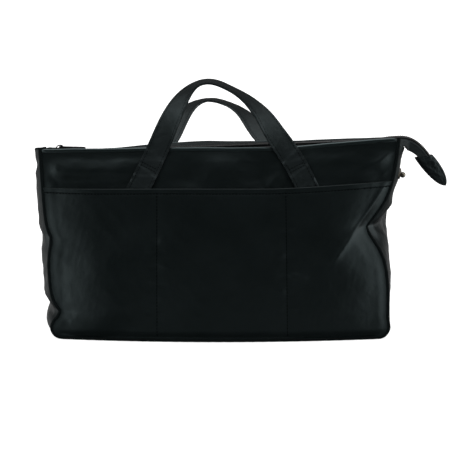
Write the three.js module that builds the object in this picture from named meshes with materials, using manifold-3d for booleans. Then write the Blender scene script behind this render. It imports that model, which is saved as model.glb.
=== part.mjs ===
// Soft toiletry bag with a zipped mouth, two strap handles and patch pockets.
// Millimetres, +Z up, +X to the right along the bag, +Y towards its back.
// The origin is the middle of the base's underside.
import * as THREE from "three";
import { mergeVertices } from "three/addons/utils/BufferGeometryUtils.js";
import Module from "manifold-3d";

const wasm = await Module();
wasm.setup();

// Body
const BASE_LENGTH = 308; // front seam to front seam along the floor
const RIM_LENGTH = 331; // the same along the rim
const BASE_DEPTH = 104; // front seam to back seam along the floor
const MOUTH_DEPTH = 34; // the same at the rim
const RIM_HEIGHT = 173; // middle of the rim above the floor
const RIM_RISE_RIGHT = 8; // the rim climbs towards the zip's hanging end
const RIM_RISE_LEFT = -2; // and sags a little towards the slider
const RISE_START_RIGHT = 40; // where along the bag these start
const RISE_START_LEFT = 20;
const BACK_SAG_LEFT = 6; // the back of the rim hangs lower towards both ends
const BACK_SAG_RIGHT = 4;
const BACK_SAG_END = 2.5; // and comes up again by this much at the left corner
const BASE_CORNER_R = 9; // lower corners of the front and back panels
const BASE_CROWN = 10; // how far each panel bows out at the floor
const BELLY_CROWN = 13; // at half height
const RIM_CROWN = 3; // at the rim
const GUSSET_BULGE_LEFT = 10; // how far each gusset rolls out past its seams
const GUSSET_BULGE_RIGHT = 5;
const GUSSET_DIP_LEFT = 1; // the gusset's top edge hangs lower in its middle
const GUSSET_DIP_RIGHT = 10.5; // the zip runs out over this one
const GUSSET_FLARE_RIGHT = 2.5; // and pulls its top edge further out

// Dents in the seams: the fabric is drawn in at a height, over a span
const RIGHT_DENT = { side: 1, height: 98, depth: 24.5, span: 21 };
const LEFT_DENT_HIGH = { side: -1, height: 88, depth: 4, span: 12 };
const LEFT_DENT_LOW = { side: -1, height: 25, depth: 7, span: 9 };
const BACK_DENT = 0.1; // share of these that the back seam has

// Cloth and seams
const CLEAR = 0.3; // gap between sewn pieces
const CLOTH = 1.2; // outer cloth with its backing
const LINING = 0.8;
const WELT_R = 1.6; // filled cord in the seams
const HEM_HEIGHT = 3; // folded rim
const HEM_THICK = 2;
const BOARD = 2; // stiff sheet in the base
const BOARD_MARGIN = 4; // from the panels
const BASE_LINING_MARGIN = 3.2;
const LINING_INSET = 4.5; // from the side seams

// Pockets
const POCKET_DROP = 35.5; // hem below the rim
const POCKET_HEIGHT = RIM_HEIGHT - POCKET_DROP;
const POCKET_CLOTH = 1;
const POCKET_EASE = 3.6; // gap behind the hem
const POCKET_EASE_TOP = 16; // the gap is full this far below the hem
const POCKET_EASE_RUN = 24; // and grows over this height
const POCKET_SIDE_RUN = 16; // it closes towards the side seams over this width

// Handles
const STRAP_WIDTH = 20;
const STRAP_THICK = 2;
const STRAP_GAP = 1; // off the panel, so that it clears the rim hem
const TACK_LEFT = -65.7; // where the loop leaves the panel
const TACK_RIGHT = 71.4;
const TACK_HEIGHT = RIM_HEIGHT - 19.5; // sewn line where the loop starts
const STRAP_TAIL = 27; // length sewn below the tack
const STRAP_TAIL_SPLAY = 27; // degrees that the sewn ends lean outwards
const LOOP_GUIDES = [[-38.2, 55], [-32.7, 114], [3.9, 104.2], [55.5, 30]]; // x, and height above the tacks
const FRONT_LOOP_TWIST = 66; // degrees that the strap has turned at its crown, inner edge outwards
const BACK_LOOP_TWIST = -36; // inner edge inwards
const LOOP_FLAT = 0.13; // share of the loop at each end that stays flat against the panel
const LOOP_TURNED = 0.37; // share by which the turn is complete
const TACK_GAP = 0.4; // between the loop and its sewn ends
const BACK_LOOP_TILT = 54; // degrees that the back loop leans back from upright

// Zip
const ZIP_HEIGHT = RIM_HEIGHT + 1; // tape plane above the floor, where the chain is joined
const ZIP_FALL = 10.5; // the zip runs down towards its slider end by this much
const ZIP_INSET = 7.5; // tape end inside the left rim
const ZIP_JOIN_INSET = 37.5; // right of this the chain never parts
const ZIP_OVERHANG = 2.5; // where it leaves the bag
const ZIP_CORNER_LIFT = 4.5;
const ZIP_LEFT = ZIP_INSET - RIM_LENGTH / 2;
const ZIP_JOIN = RIM_LENGTH / 2 - ZIP_JOIN_INSET;
const ZIP_CORNER = RIM_LENGTH / 2 + ZIP_OVERHANG;
const ZIP_CORNER_HEIGHT = RIM_HEIGHT + ZIP_CORNER_LIFT;
const TAPE_THICK = 0.7;
const TAPE_HALF = 13; // half width where the tape is free
const TAPE_HALF_END = 9.5; // and at the tab
const COIL_R = 1.3;
const COIL_SLIT = 0.25; // half the slit between the two coils
const TAPE_SHOULDER = 3.2; // flat part of the free tape under the coil
const TAIL_REACH = 26.5; // from the corner to the tab, along X
const TAIL_DROP = 19.5;
const TAIL_DROOP_START = 32; // degrees that the tape's sides hang down at the corner
const TAIL_DROOP_END = 82; // and at the tab
const TAB_LENGTH = 28;
const TAB_WIDTH = 15;
const TAB_THICK = 3.6;
const TAB_SLOPE = 52; // degrees below level
const TAB_DROP = 5.5; // from the middle of the tab up to its upper corner at the tail
const TAB_SKEW = 8; // its lower edge starts this much nearer to the bag

// Slider and pull
const SLIDER_X = ZIP_LEFT + 9; // middle of the slider when the zip is shut
const SLIDER_LENGTH = 12;
const SLIDER_WIDTH = 10;
const SLIDER_PLATE = 1.1;
const SLIDER_FLANGE = 0.9; // wall at each side of a plate
const POST_HALF = 1.2; // wedge between the plates
const POST_LENGTH = 3;
const CROWN_LENGTH = 8; // bail that holds the pull
const CROWN_RISE = 4;
const CROWN_BAR = 1.1;
const CROWN_WIDTH = 2;
const PULL_LENGTH = 24;
const PULL_WIDTH = 7;
const PULL_THICK = 1.2;
const PULL_EYE_WIDTH = 2.8; // hole that straddles the bail
const PULL_EYE_LENGTH = 5.6;
const STOP_LENGTH = 2.4;

// Snap of the right gusset
const SNAP_DROP = 30; // below the rim
const SNAP_HEIGHT = RIM_HEIGHT - SNAP_DROP;
const SNAP_SPREAD = 22; // stud to socket
const SNAP_FLANGE_R = 4.2;
const SNAP_FLANGE = 0.8;
const SNAP_BALL_R = 2.7;
const SNAP_NECK_R = 1.9;
const SNAP_SHANK_R = 1.4;
const SNAP_HOLE_R = 1.8;
const SNAP_CAP_R = 4;
const SNAP_CAP = 1.4;
const SOCKET_R = 3.6;
const SOCKET_HEIGHT = 2.6;

// Mesh fineness
const ACROSS = 12;
const CORNER_STEPS = 3;
const SIDE_STEPS = 11;
const GUSSET_STEPS = 8;

const rad = THREE.MathUtils.degToRad;
const lerp = THREE.MathUtils.lerp;
const smooth = THREE.MathUtils.smoothstep;
const vec = (x, y, z) => new THREE.Vector3(x, y, z);

const nylon = new THREE.MeshStandardMaterial({ color: 0x15181a, roughness: 0.55, metalness: 0 });
const satin = new THREE.MeshStandardMaterial({ color: 0x2a2d30, roughness: 0.6, metalness: 0 });
const tapeCloth = new THREE.MeshStandardMaterial({ color: 0x101214, roughness: 0.75, metalness: 0 });
const coilPlastic = new THREE.MeshStandardMaterial({ color: 0x1b1d1f, roughness: 0.4, metalness: 0 });
const board = new THREE.MeshStandardMaterial({ color: 0x3a3a38, roughness: 0.8, metalness: 0 });
const gunmetal = new THREE.MeshStandardMaterial({ color: 0x3c3d40, roughness: 0.35, metalness: 0.9 });
const brass = new THREE.MeshStandardMaterial({ color: 0x8a8070, roughness: 0.3, metalness: 1 });

const bag = new THREE.Group();

function add(name, geometry, material) {
  const mesh = new THREE.Mesh(geometry, material);
  mesh.name = name;
  bag.add(mesh);
}

// Turns a closed triangle list so that its faces point out.
function closed(points, triangles) {
  let volume = 0;
  for (const [a, b, c] of triangles) {
    volume += points[a].dot(points[b].clone().cross(points[c]));
  }
  const order = volume < 0 ? triangles.map(([a, b, c]) => [a, c, b]) : triangles;
  const geometry = new THREE.BufferGeometry();
  geometry.setAttribute("position", new THREE.Float32BufferAttribute(points.flatMap((p) => p.toArray()), 3));
  geometry.setIndex(order.flat());
  geometry.computeVertexNormals();
  return geometry;
}

// A sheet of cloth: a grid of outer points, each with the inner point behind it.
function sheet(grid) {
  const rows = grid.length;
  const cols = grid[0].length;
  const points = [];
  for (const row of grid) {
    for (const [outer] of row) points.push(outer);
  }
  for (const row of grid) {
    for (const [, inner] of row) points.push(inner);
  }
  const back = rows * cols;
  const triangles = [];
  const quad = (a, b, c, d) => triangles.push([a, b, c], [a, c, d]);
  for (let i = 0; i < rows - 1; i++) {
    for (let j = 0; j < cols - 1; j++) {
      const a = i * cols + j;
      const c = a + cols + 1;
      quad(a, a + 1, c, c - 1);
      quad(back + a, back + c - 1, back + c, back + a + 1);
    }
  }
  const rim = [];
  for (let j = 0; j < cols; j++) rim.push(j);
  for (let i = 1; i < rows; i++) rim.push(i * cols + cols - 1);
  for (let j = cols - 2; j >= 0; j--) rim.push((rows - 1) * cols + j);
  for (let i = rows - 2; i > 0; i--) rim.push(i * cols);
  rim.forEach((a, k) => {
    const b = rim[(k + 1) % rim.length];
    quad(b, a, back + a, back + b);
  });
  return closed(points, triangles);
}

// A bar through rings of equal size, with flat ends.
function loft(rings) {
  const sides = rings[0].length;
  const points = rings.flat();
  const triangles = [];
  for (let i = 0; i < rings.length - 1; i++) {
    for (let j = 0; j < sides; j++) {
      const a = i * sides + j;
      const b = i * sides + ((j + 1) % sides);
      triangles.push([a, b, b + sides], [a, b + sides, a + sides]);
    }
  }
  const last = (rings.length - 1) * sides;
  for (let j = 1; j < sides - 1; j++) {
    triangles.push([0, j + 1, j], [last, last + j, last + j + 1]);
  }
  return closed(points, triangles);
}

function toSolid(geometry) {
  const bare = geometry.clone();
  bare.deleteAttribute("normal");
  bare.deleteAttribute("uv");
  const welded = mergeVertices(bare, 1e-4);
  const vertProperties = new Float32Array(welded.attributes.position.array);
  const triVerts = new Uint32Array(welded.index.array);
  return new wasm.Manifold(new wasm.Mesh({ numProp: 3, vertProperties, triVerts }));
}

function fromSolid(solid) {
  const mesh = solid.getMesh();
  const geometry = new THREE.BufferGeometry();
  geometry.setAttribute("position", new THREE.Float32BufferAttribute(mesh.vertProperties, 3));
  geometry.setIndex(Array.from(mesh.triVerts));
  geometry.computeVertexNormals();
  return geometry;
}

function box(x0, x1, y0, y1, z0, z1) {
  const geometry = new THREE.BoxGeometry(x1 - x0, y1 - y0, z1 - z0);
  return geometry.translate((x0 + x1) / 2, (y0 + y1) / 2, (z0 + z1) / 2);
}

// Form of the bag: height runs from the floor to the nominal rim

const share = (height) => height / RIM_HEIGHT;
const seamDepth = (height) => lerp(BASE_DEPTH, MOUTH_DEPTH, share(height)) / 2;
const seamReach = (height) => lerp(BASE_LENGTH, RIM_LENGTH, share(height)) / 2;

function dent(side, height) {
  let sum = 0;
  for (const d of [RIGHT_DENT, LEFT_DENT_HIGH, LEFT_DENT_LOW]) {
    if (d.side === side) sum += d.depth / (1 + ((height - d.height) / d.span) ** 2);
  }
  return sum;
}

function crown(height) {
  const s = share(height);
  return lerp(BASE_CROWN, RIM_CROWN, s) + (BELLY_CROWN - (BASE_CROWN + RIM_CROWN) / 2) * 4 * s * (1 - s);
}

function rimRise(x) {
  const right = RIM_RISE_RIGHT * smooth(x, RISE_START_RIGHT, RIM_LENGTH / 2);
  return right + RIM_RISE_LEFT * smooth(-x, RISE_START_LEFT, RIM_LENGTH / 2);
}

function backSag(x) {
  const right = BACK_SAG_RIGHT * smooth(x, RISE_START_RIGHT, RIM_LENGTH / 2);
  const left = BACK_SAG_LEFT * smooth(-x, RISE_START_LEFT / 2, RIM_LENGTH / 2 - 2 * RISE_START_LEFT);
  return right + left - BACK_SAG_END * smooth(-x, RIM_LENGTH / 2 - 2 * RISE_START_LEFT, RIM_LENGTH / 2);
}

// Height of a point after the rim's rise; back is 0 at the front panel and 1 at the back panel.
const lifted = (x, height, back) => height + (rimRise(x) - backSag(x) * back ** 2) * share(height) ** 2;
const backOf = (face) => (face + 1) / 2;

// Distance of a panel's outer face from the middle plane; across is -1 at the left seam and 1 at the right.
const panelFace = (across, height) => seamDepth(height) + crown(height) * (1 - across * across);

// Heights of the stations up a side: every piece shares them, so that neighbours bend at the same lines.
function sideHeights(top) {
  const start = WELT_R + BASE_CORNER_R;
  const step = (RIM_HEIGHT - start) / SIDE_STEPS;
  const heights = [];
  for (let i = 0; start + i * step < top - step / 4; i++) heights.push(start + i * step);
  return [...heights, top];
}

// Stations up one side edge, from the floor round the corner to the top, drawn in by an inset.
function edgeStations(side, inset, top, dented = true) {
  const low = WELT_R + inset;
  const radius = BASE_CORNER_R - inset;
  const stations = [];
  for (let i = 0; i < CORNER_STEPS; i++) {
    const turn = (i / CORNER_STEPS) * (Math.PI / 2);
    const height = low + radius * (1 - Math.cos(turn));
    const reach = seamReach(height) - inset - radius * (1 - Math.sin(turn));
    stations.push({ height, reach, turn, dent: 0 });
  }
  for (const height of sideHeights(top)) {
    const fade = Math.min(1, (height - low - radius) / BASE_CORNER_R);
    const drawn = dent(side, height) * fade * (dented ? 1 : BACK_DENT);
    stations.push({ height, reach: seamReach(height) - inset - drawn, turn: Math.PI / 2, dent: drawn });
  }
  return stations;
}

// A cloth that follows the front (face -1) or back (face 1) panel between two depths behind its outer face.
function panelSheet(face, { inset, top, outer, thick }) {
  const dented = face < 0;
  const left = edgeStations(-1, inset, top, dented);
  const right = edgeStations(1, inset, top, dented);
  const grid = left.map((station, i) => {
    const row = [];
    for (let j = 0; j <= ACROSS; j++) {
      const across = (2 * j) / ACROSS - 1;
      const x = lerp(-station.reach, right[i].reach, j / ACROSS);
      const z = lifted(x, station.height, backOf(face));
      const away = panelFace(across, station.height) - outer(x, station.height);
      row.push([vec(x, face * away, z), vec(x, face * (away - thick), z)]);
    }
    return row;
  });
  return sheet(grid);
}

const SEAM_INSET = WELT_R + CLEAR;
const PANEL_TOP = RIM_HEIGHT - HEM_HEIGHT - CLEAR;
const LINING_TOP = PANEL_TOP - CLEAR;

const wholePanel = { inset: SEAM_INSET, top: PANEL_TOP, outer: () => 0, thick: CLOTH };
add("front_panel", panelSheet(-1, wholePanel), nylon);
add("back_panel", panelSheet(1, wholePanel), nylon);

const liningAt = { inset: LINING_INSET, top: LINING_TOP, outer: () => CLOTH + CLEAR, thick: LINING };
add("lining_front", panelSheet(-1, liningAt), satin);
add("lining_back", panelSheet(1, liningAt), satin);

// Patch pockets lie on the panels, eased off them behind the hem so that the straps can run down inside.
function pocketEase(x, height) {
  const eased = POCKET_HEIGHT - POCKET_EASE_TOP;
  const up = smooth(height, eased - POCKET_EASE_RUN, eased);
  const side = smooth(seamReach(height) - Math.abs(x), SEAM_INSET + CLEAR, SEAM_INSET + POCKET_SIDE_RUN);
  return -(POCKET_CLOTH + CLEAR + (POCKET_EASE - CLEAR) * up * side);
}
const pocketAt = { inset: SEAM_INSET, top: POCKET_HEIGHT, outer: pocketEase, thick: POCKET_CLOTH };
add("front_pocket", panelSheet(-1, pocketAt), nylon);
add("back_pocket", panelSheet(1, pocketAt), nylon);

// Gussets: rolled-out side walls that turn under the lower corners to meet the base
function gussetPoint(side, station, forward, depth) {
  const turned = Math.sin(station.turn);
  const flare = GUSSET_FLARE_RIGHT * share(station.height) ** 18;
  const bulge = side < 0 ? GUSSET_BULGE_LEFT : GUSSET_BULGE_RIGHT + flare;
  const roll = lerp(WELT_R, bulge * 4 * forward * (1 - forward), turned ** 2);
  const undent = station.dent * (1 - BACK_DENT) * forward ** 0.8;
  const out = roll + undent - depth;
  const x = side * (station.reach + turned * out);
  const sag = (1 - Math.abs(2 * forward - 1) ** 6) * share(station.height) ** 8;
  const dip = (side < 0 ? GUSSET_DIP_LEFT : GUSSET_DIP_RIGHT) * sag;
  return { x, z: lifted(x, station.height, forward) - Math.cos(station.turn) * out - dip };
}

function gussetSheet(side, { top, margin, outer, thick }) {
  const grid = edgeStations(side, 0, top).map((station) => {
    const row = [];
    for (let j = 0; j <= GUSSET_STEPS; j++) {
      const y = (seamDepth(station.height) - margin) * ((2 * j) / GUSSET_STEPS - 1);
      const forward = (y / seamDepth(station.height) + 1) / 2;
      const a = gussetPoint(side, station, forward, outer);
      const b = gussetPoint(side, station, forward, outer + thick);
      const shift = side * CLEAR * 0.5 * Math.cos(station.turn);
      row.push([vec(a.x + shift, y, a.z), vec(b.x + shift, y, b.z)]);
    }
    return row;
  });
  return sheet(grid);
}

// Snap: riveted through the right gusset and its lining, a stud in front and a socket behind
function wallStation(side, height) {
  const station = edgeStations(side, 0, RIM_HEIGHT).reduce((best, s) => {
    return Math.abs(s.height - height) < Math.abs(best.height - height) ? s : best;
  });
  const at = { ...station, height, dent: dent(side, height) };
  at.reach = seamReach(height) - at.dent;
  return at;
}

// How far the cloth under a snap slopes in or out from its middle to the edge of its cap
function snapRise(side, y) {
  const [low, middle, high] = [-SNAP_CAP_R, 0, SNAP_CAP_R].map((up) => {
    const height = SNAP_HEIGHT + up;
    return gussetPoint(side, wallStation(side, height), (y / seamDepth(height) + 1) / 2, 0).x;
  });
  return Math.max(Math.abs(low - middle), Math.abs(high - middle));
}

function snapSeat(side, y) {
  const at = wallStation(side, SNAP_HEIGHT);
  const forward = (y / seamDepth(SNAP_HEIGHT) + 1) / 2;
  const p = gussetPoint(side, at, forward, 0);
  const step = 0.02;
  const q = gussetPoint(side, at, forward + step, 0);
  const slope = (q.x - p.x) / (2 * step * seamDepth(SNAP_HEIGHT));
  const normal = vec(side, -side * slope, 0).normalize();
  return { centre: vec(p.x, y, p.z), normal };
}

function onSeat(geometry, seat) {
  const turn = new THREE.Quaternion().setFromUnitVectors(vec(0, 1, 0), seat.normal);
  return geometry.applyQuaternion(turn).translate(...seat.centre.toArray());
}

const turned = (profile) => new THREE.LatheGeometry(profile.map(([r, y]) => new THREE.Vector2(r, y)), 12);
const SNAP_STACK = CLOTH + CLEAR + LINING;
const SNAP_EASE = 2.5 * CLEAR;
const SNAP_RISE = Math.max(snapRise(1, -SNAP_SPREAD / 2), snapRise(1, SNAP_SPREAD / 2));
const SNAP_LIFT = Math.max(SNAP_EASE, SNAP_RISE + CLEAR / 4); // flange and cap clear the sloping cloth
const SNAP_GRIP = SNAP_CAP - SNAP_EASE; // shank held in the cap

function studProfile() {
  const ball = [];
  const centre = SNAP_LIFT + SNAP_FLANGE + SNAP_BALL_R;
  const start = Math.asin(SNAP_NECK_R / SNAP_BALL_R);
  for (let i = 0; i <= 5; i++) {
    const a = lerp(Math.PI - start, 0, i / 5);
    ball.push([i === 5 ? 0 : SNAP_BALL_R * Math.sin(a), centre + SNAP_BALL_R * Math.cos(a)]);
  }
  return [...shankProfile(), ...ball];
}

function shankProfile() {
  const foot = -(SNAP_STACK + SNAP_LIFT + SNAP_GRIP);
  return [[0, foot], [SNAP_SHANK_R, foot], [SNAP_SHANK_R, SNAP_LIFT], [SNAP_FLANGE_R, SNAP_LIFT],
    [SNAP_FLANGE_R, SNAP_LIFT + SNAP_FLANGE]];
}

function socketProfile() {
  const low = SNAP_LIFT + SNAP_FLANGE;
  const top = SNAP_LIFT + SOCKET_HEIGHT;
  const bore = SNAP_BALL_R - CLEAR;
  return [...shankProfile(), [SOCKET_R, low], [SOCKET_R, top], [bore, top], [bore, low], [0, low]];
}

function capProfile() {
  const seat = -(SNAP_STACK + SNAP_LIFT);
  const bore = SNAP_SHANK_R + CLEAR;
  const floor = seat - SNAP_GRIP - CLEAR;
  return [[0, floor - SNAP_FLANGE], [SNAP_CAP_R, floor - SNAP_FLANGE], [SNAP_CAP_R, seat], [bore, seat],
    [bore, floor], [0, floor]];
}

const snapHoles = [];
for (const [y, kind, profile] of [
  [-SNAP_SPREAD / 2, "stud", studProfile()],
  [SNAP_SPREAD / 2, "socket", socketProfile()],
]) {
  const seat = snapSeat(1, y);
  add(`right_snap_${kind}`, onSeat(turned(profile), seat), brass);
  add(`right_snap_${kind}_cap`, onSeat(turned(capProfile()), seat), brass);
  const length = 2 * (SNAP_STACK + SNAP_CAP);
  snapHoles.push(toSolid(onSeat(new THREE.CylinderGeometry(SNAP_HOLE_R, SNAP_HOLE_R, length, 12), seat)));
}

const gussetCloth = { top: PANEL_TOP, margin: SEAM_INSET, outer: 0, thick: CLOTH };
const gussetLining = { top: LINING_TOP, margin: SEAM_INSET, outer: CLOTH + CLEAR, thick: LINING };
const pierced = (geometry) => fromSolid(toSolid(geometry).subtract(snapHoles[0]).subtract(snapHoles[1]));
add("left_gusset", gussetSheet(-1, gussetCloth), nylon);
add("lining_left", gussetSheet(-1, gussetLining), satin);
add("right_gusset", pierced(gussetSheet(1, gussetCloth)), nylon);
add("lining_right", pierced(gussetSheet(1, gussetLining)), satin);

// Base: cloth, stiff board and lining, flat between the gussets
function baseSheet(margin, endGap, low, thick) {
  const flat = seamReach(WELT_R) - BASE_CORNER_R;
  const reach = flat - endGap;
  const grid = [];
  for (let i = 0; i <= ACROSS; i++) {
    const x = lerp(-reach, reach, i / ACROSS);
    const half = panelFace(x / flat, WELT_R) - margin;
    grid.push([-half, half].map((y) => [vec(x, y, low), vec(x, y, low + thick)]));
  }
  return sheet(grid);
}

const BOARD_LOW = CLOTH + CLEAR;
const BASE_LINING_LOW = BOARD_LOW + BOARD + CLEAR;
add("base_panel", baseSheet(SEAM_INSET + CLEAR, CLEAR / 2, 0, CLOTH), nylon);
add("base_board", baseSheet(BOARD_MARGIN, BOARD_MARGIN, BOARD_LOW, BOARD), board);
add("lining_base", baseSheet(BASE_LINING_MARGIN, CLEAR, BASE_LINING_LOW, LINING), satin);

// Welts: a filled cord in the seam from rim to rim round the lower corners
function welt(face) {
  const dented = face < 0;
  const path = [];
  const place = (x, height, across) => {
    return vec(x, face * panelFace(across, height), lifted(x, height, backOf(face)));
  };
  const left = edgeStations(-1, 0, RIM_HEIGHT, dented);
  const right = edgeStations(1, 0, RIM_HEIGHT, dented);
  for (const s of left.slice().reverse()) path.push(place(-s.reach, s.height, -1));
  for (let j = 1; j < ACROSS; j++) {
    const x = lerp(-left[0].reach, right[0].reach, j / ACROSS);
    path.push(place(x, WELT_R, (2 * j) / ACROSS - 1));
  }
  for (const s of right) path.push(place(s.reach, s.height, 1));
  const rings = path.map((p, i) => {
    const ahead = path[Math.min(i + 1, path.length - 1)].clone().sub(path[Math.max(i - 1, 0)]).normalize();
    const side = vec(0, 1, 0).cross(ahead).normalize();
    const up = ahead.clone().cross(side);
    const ring = [];
    for (let k = 0; k < 8; k++) {
      const a = ((k + 0.5) / 8) * 2 * Math.PI;
      const r = WELT_R;
      ring.push(p.clone().addScaledVector(side, r * Math.cos(a)).addScaledVector(up, r * Math.sin(a)));
    }
    return ring;
  });
  return loft(rings);
}
add("front_welt", welt(-1), nylon);
add("back_welt", welt(1), nylon);

// Rim hems: a folded edge that caps each wall
function hemRing(centre, out, up) {
  const half = HEM_THICK / 2;
  const chamfer = HEM_THICK / 3;
  const side = HEM_HEIGHT - chamfer;
  const outline = [[-half, 0], [half, 0], [half, side], [half - chamfer, HEM_HEIGHT],
    [chamfer - half, HEM_HEIGHT], [-half, side]];
  return outline.map(([a, b]) => centre.clone().addScaledVector(out, a).addScaledVector(up, b));
}

// How far a panel leans in for each millimetre of height, just below its hem.
const rimSlope = (across) =>
  (panelFace(across, PANEL_TOP - HEM_HEIGHT) - panelFace(across, PANEL_TOP)) / HEM_HEIGHT;

function panelHem(face) {
  const height = PANEL_TOP + CLEAR;
  const right = edgeStations(1, SEAM_INSET, PANEL_TOP).at(-1).reach;
  const left = edgeStations(-1, SEAM_INSET, PANEL_TOP).at(-1).reach;
  const rings = [];
  for (let j = 0; j <= ACROSS; j++) {
    const x = lerp(-left, right, j / ACROSS);
    const across = (2 * j) / ACROSS - 1;
    const away = panelFace(across, PANEL_TOP) - CLOTH / 2;
    const up = vec(0, -face * rimSlope(across), 1);
    rings.push(hemRing(vec(x, face * away, lifted(x, height, backOf(face))), vec(0, face, 0), up));
  }
  return loft(rings);
}
add("front_rim_hem", panelHem(-1), nylon);
add("back_rim_hem", panelHem(1), nylon);

function gussetHem(side) {
  const station = edgeStations(side, 0, PANEL_TOP).at(-1);
  const rings = [];
  for (let j = 0; j <= GUSSET_STEPS; j++) {
    const y = (seamDepth(PANEL_TOP) - SEAM_INSET - CLEAR) * ((2 * j) / GUSSET_STEPS - 1);
    const p = gussetPoint(side, station, (y / seamDepth(PANEL_TOP) + 1) / 2, CLOTH / 2);
    rings.push(hemRing(vec(p.x, y, p.z + CLEAR), vec(side, 0, 0), vec(0, 0, 1)));
  }
  return loft(rings);
}
add("left_rim_hem", gussetHem(-1), nylon);
add("right_rim_hem", gussetHem(1), nylon);

// The zip's straight part slopes: its pieces are shaped level, and then lowered towards the slider end.
const ZIP_SLOPE = ZIP_FALL / (ZIP_JOIN - ZIP_LEFT);
const zipLine = (x) => ZIP_HEIGHT + ZIP_SLOPE * (x - ZIP_JOIN);

function onSlope(geometry) {
  const shear = new THREE.Matrix4().set(
    1, 0, 0, 0, 0, 1, 0, 0, ZIP_SLOPE, 0, 1, -ZIP_SLOPE * ZIP_JOIN, 0, 0, 0, 1);
  return geometry.applyMatrix4(shear);
}

// Zip over the mouth: each tape runs from the chain to the hem of its panel
const POST_END = SLIDER_X - SLIDER_LENGTH / 2 + POST_LENGTH + CLEAR;

function mouthTape(face) {
  const stops = [ZIP_LEFT, POST_END - CLEAR];
  for (let i = 0; i <= ACROSS; i++) stops.push(lerp(POST_END, ZIP_JOIN, i / ACROSS));
  const grid = stops.map((x) => {
    const parted = x < POST_END;
    const near = parted ? POST_HALF + CLEAR : COIL_SLIT;
    const across = x / seamReach(RIM_HEIGHT);
    const hem = panelFace(across, PANEL_TOP) - CLOTH / 2 - HEM_THICK / 2;
    const far = hem - rimSlope(across) * HEM_HEIGHT - CLEAR;
    const rimZ = lifted(x, PANEL_TOP + CLEAR, backOf(face)) + HEM_HEIGHT / 2;
    return [0, 0.4, 1].map((w) => {
      const y = face * lerp(near, far, w);
      const z = lerp(zipLine(x), rimZ, smooth(w, 0.4, 1));
      return [vec(x, y, z), vec(x, y, z + TAPE_THICK)];
    });
  });
  return sheet(grid);
}
add("zip_tape_front", mouthTape(-1), tapeCloth);
add("zip_tape_back", mouthTape(1), tapeCloth);

const COIL_LIFT = TAPE_THICK + CLEAR + COIL_R;

function coilRing(centre, across, up, half) {
  const ring = [];
  for (let k = 0; k < 8; k++) {
    const a = ((k + 0.5) / 8) * 2 * Math.PI;
    const point = centre.clone().addScaledVector(across, half * Math.cos(a));
    ring.push(point.addScaledVector(up, COIL_R * Math.sin(a)));
  }
  return ring;
}

function mouthCoil(face) {
  const y = face * (COIL_SLIT + COIL_R);
  const ends = [POST_END, ZIP_JOIN];
  return loft(ends.map((x) =>
    coilRing(vec(x, y, zipLine(x) + COIL_LIFT), vec(0, 1, 0), vec(0, 0, 1), COIL_R)));
}
add("zip_coil_front", mouthCoil(-1), coilPlastic);
add("zip_coil_back", mouthCoil(1), coilPlastic);

// Zip end and tail: one joined chain on a folded tape, over the gusset and down outside it
const cornerRun = new THREE.CubicBezierCurve3(
  vec(ZIP_JOIN + CLEAR, 0, ZIP_HEIGHT), vec(lerp(ZIP_JOIN, ZIP_CORNER, 0.45), 0, ZIP_HEIGHT),
  vec(lerp(ZIP_JOIN, ZIP_CORNER, 0.6), 0, ZIP_CORNER_HEIGHT), vec(ZIP_CORNER, 0, ZIP_CORNER_HEIGHT));
const tailRun = new THREE.CubicBezierCurve3(
  vec(ZIP_CORNER + CLEAR, 0, ZIP_CORNER_HEIGHT), vec(ZIP_CORNER + TAIL_REACH * 0.4, 0, ZIP_CORNER_HEIGHT),
  vec(ZIP_CORNER + TAIL_REACH * 0.75, 0, ZIP_CORNER_HEIGHT - TAIL_DROP * 0.45),
  vec(ZIP_CORNER + TAIL_REACH, 0, ZIP_CORNER_HEIGHT - TAIL_DROP));

function frameAt(run, t) {
  const ahead = run.getTangent(t);
  return { at: run.getPoint(t), up: vec(0, 1, 0).cross(ahead).normalize().negate() };
}

function foldedTape(run, droopAt, halfAt, steps) {
  const grid = [];
  for (let i = 0; i <= steps; i++) {
    const { at, up } = frameAt(run, i / steps);
    const droop = rad(droopAt(i / steps));
    const half = halfAt(i / steps);
    const row = [];
    for (const d of [-half, -TAPE_SHOULDER, 0, TAPE_SHOULDER, half]) {
      const hang = Math.max(0, Math.abs(d) - TAPE_SHOULDER);
      const flat = Math.min(Math.abs(d), TAPE_SHOULDER) + hang * Math.cos(droop);
      const low = at.clone().add(vec(0, Math.sign(d) * flat, 0)).addScaledVector(up, -hang * Math.sin(droop));
      const lean = hang > 0 ? droop : droop / 2 * Math.sign(Math.abs(d));
      const out = vec(0, Math.sign(d) * Math.sin(lean), 0).addScaledVector(up, Math.cos(lean));
      row.push([low, low.clone().addScaledVector(out, TAPE_THICK)]);
    }
    grid.push(row);
  }
  return sheet(grid);
}

function joinedCoil(run, steps) {
  const rings = [];
  for (let i = 0; i <= steps; i++) {
    const { at, up } = frameAt(run, i / steps);
    const half = COIL_SLIT + 2 * COIL_R;
    rings.push(coilRing(at.clone().addScaledVector(up, COIL_LIFT), vec(0, 1, 0), up, half));
  }
  return loft(rings);
}
const cornerDroop = (t) => lerp(0, TAIL_DROOP_START, smooth(t, 0.45, 1));
add("zip_end_tape", foldedTape(cornerRun, cornerDroop, () => TAPE_HALF, 8), tapeCloth);
add("zip_end_coil", joinedCoil(cornerRun, 8), coilPlastic);
const tailDroop = (t) => lerp(TAIL_DROOP_START, TAIL_DROOP_END, smooth(t, 0.1, 0.32));
const tailHalf = (t) => lerp(TAPE_HALF, TAPE_HALF_END, t);
add("zip_tail_tape", foldedTape(tailRun, tailDroop, tailHalf, 8), tapeCloth);
add("zip_tail_coil", joinedCoil(tailRun, 8), coilPlastic);

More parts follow.
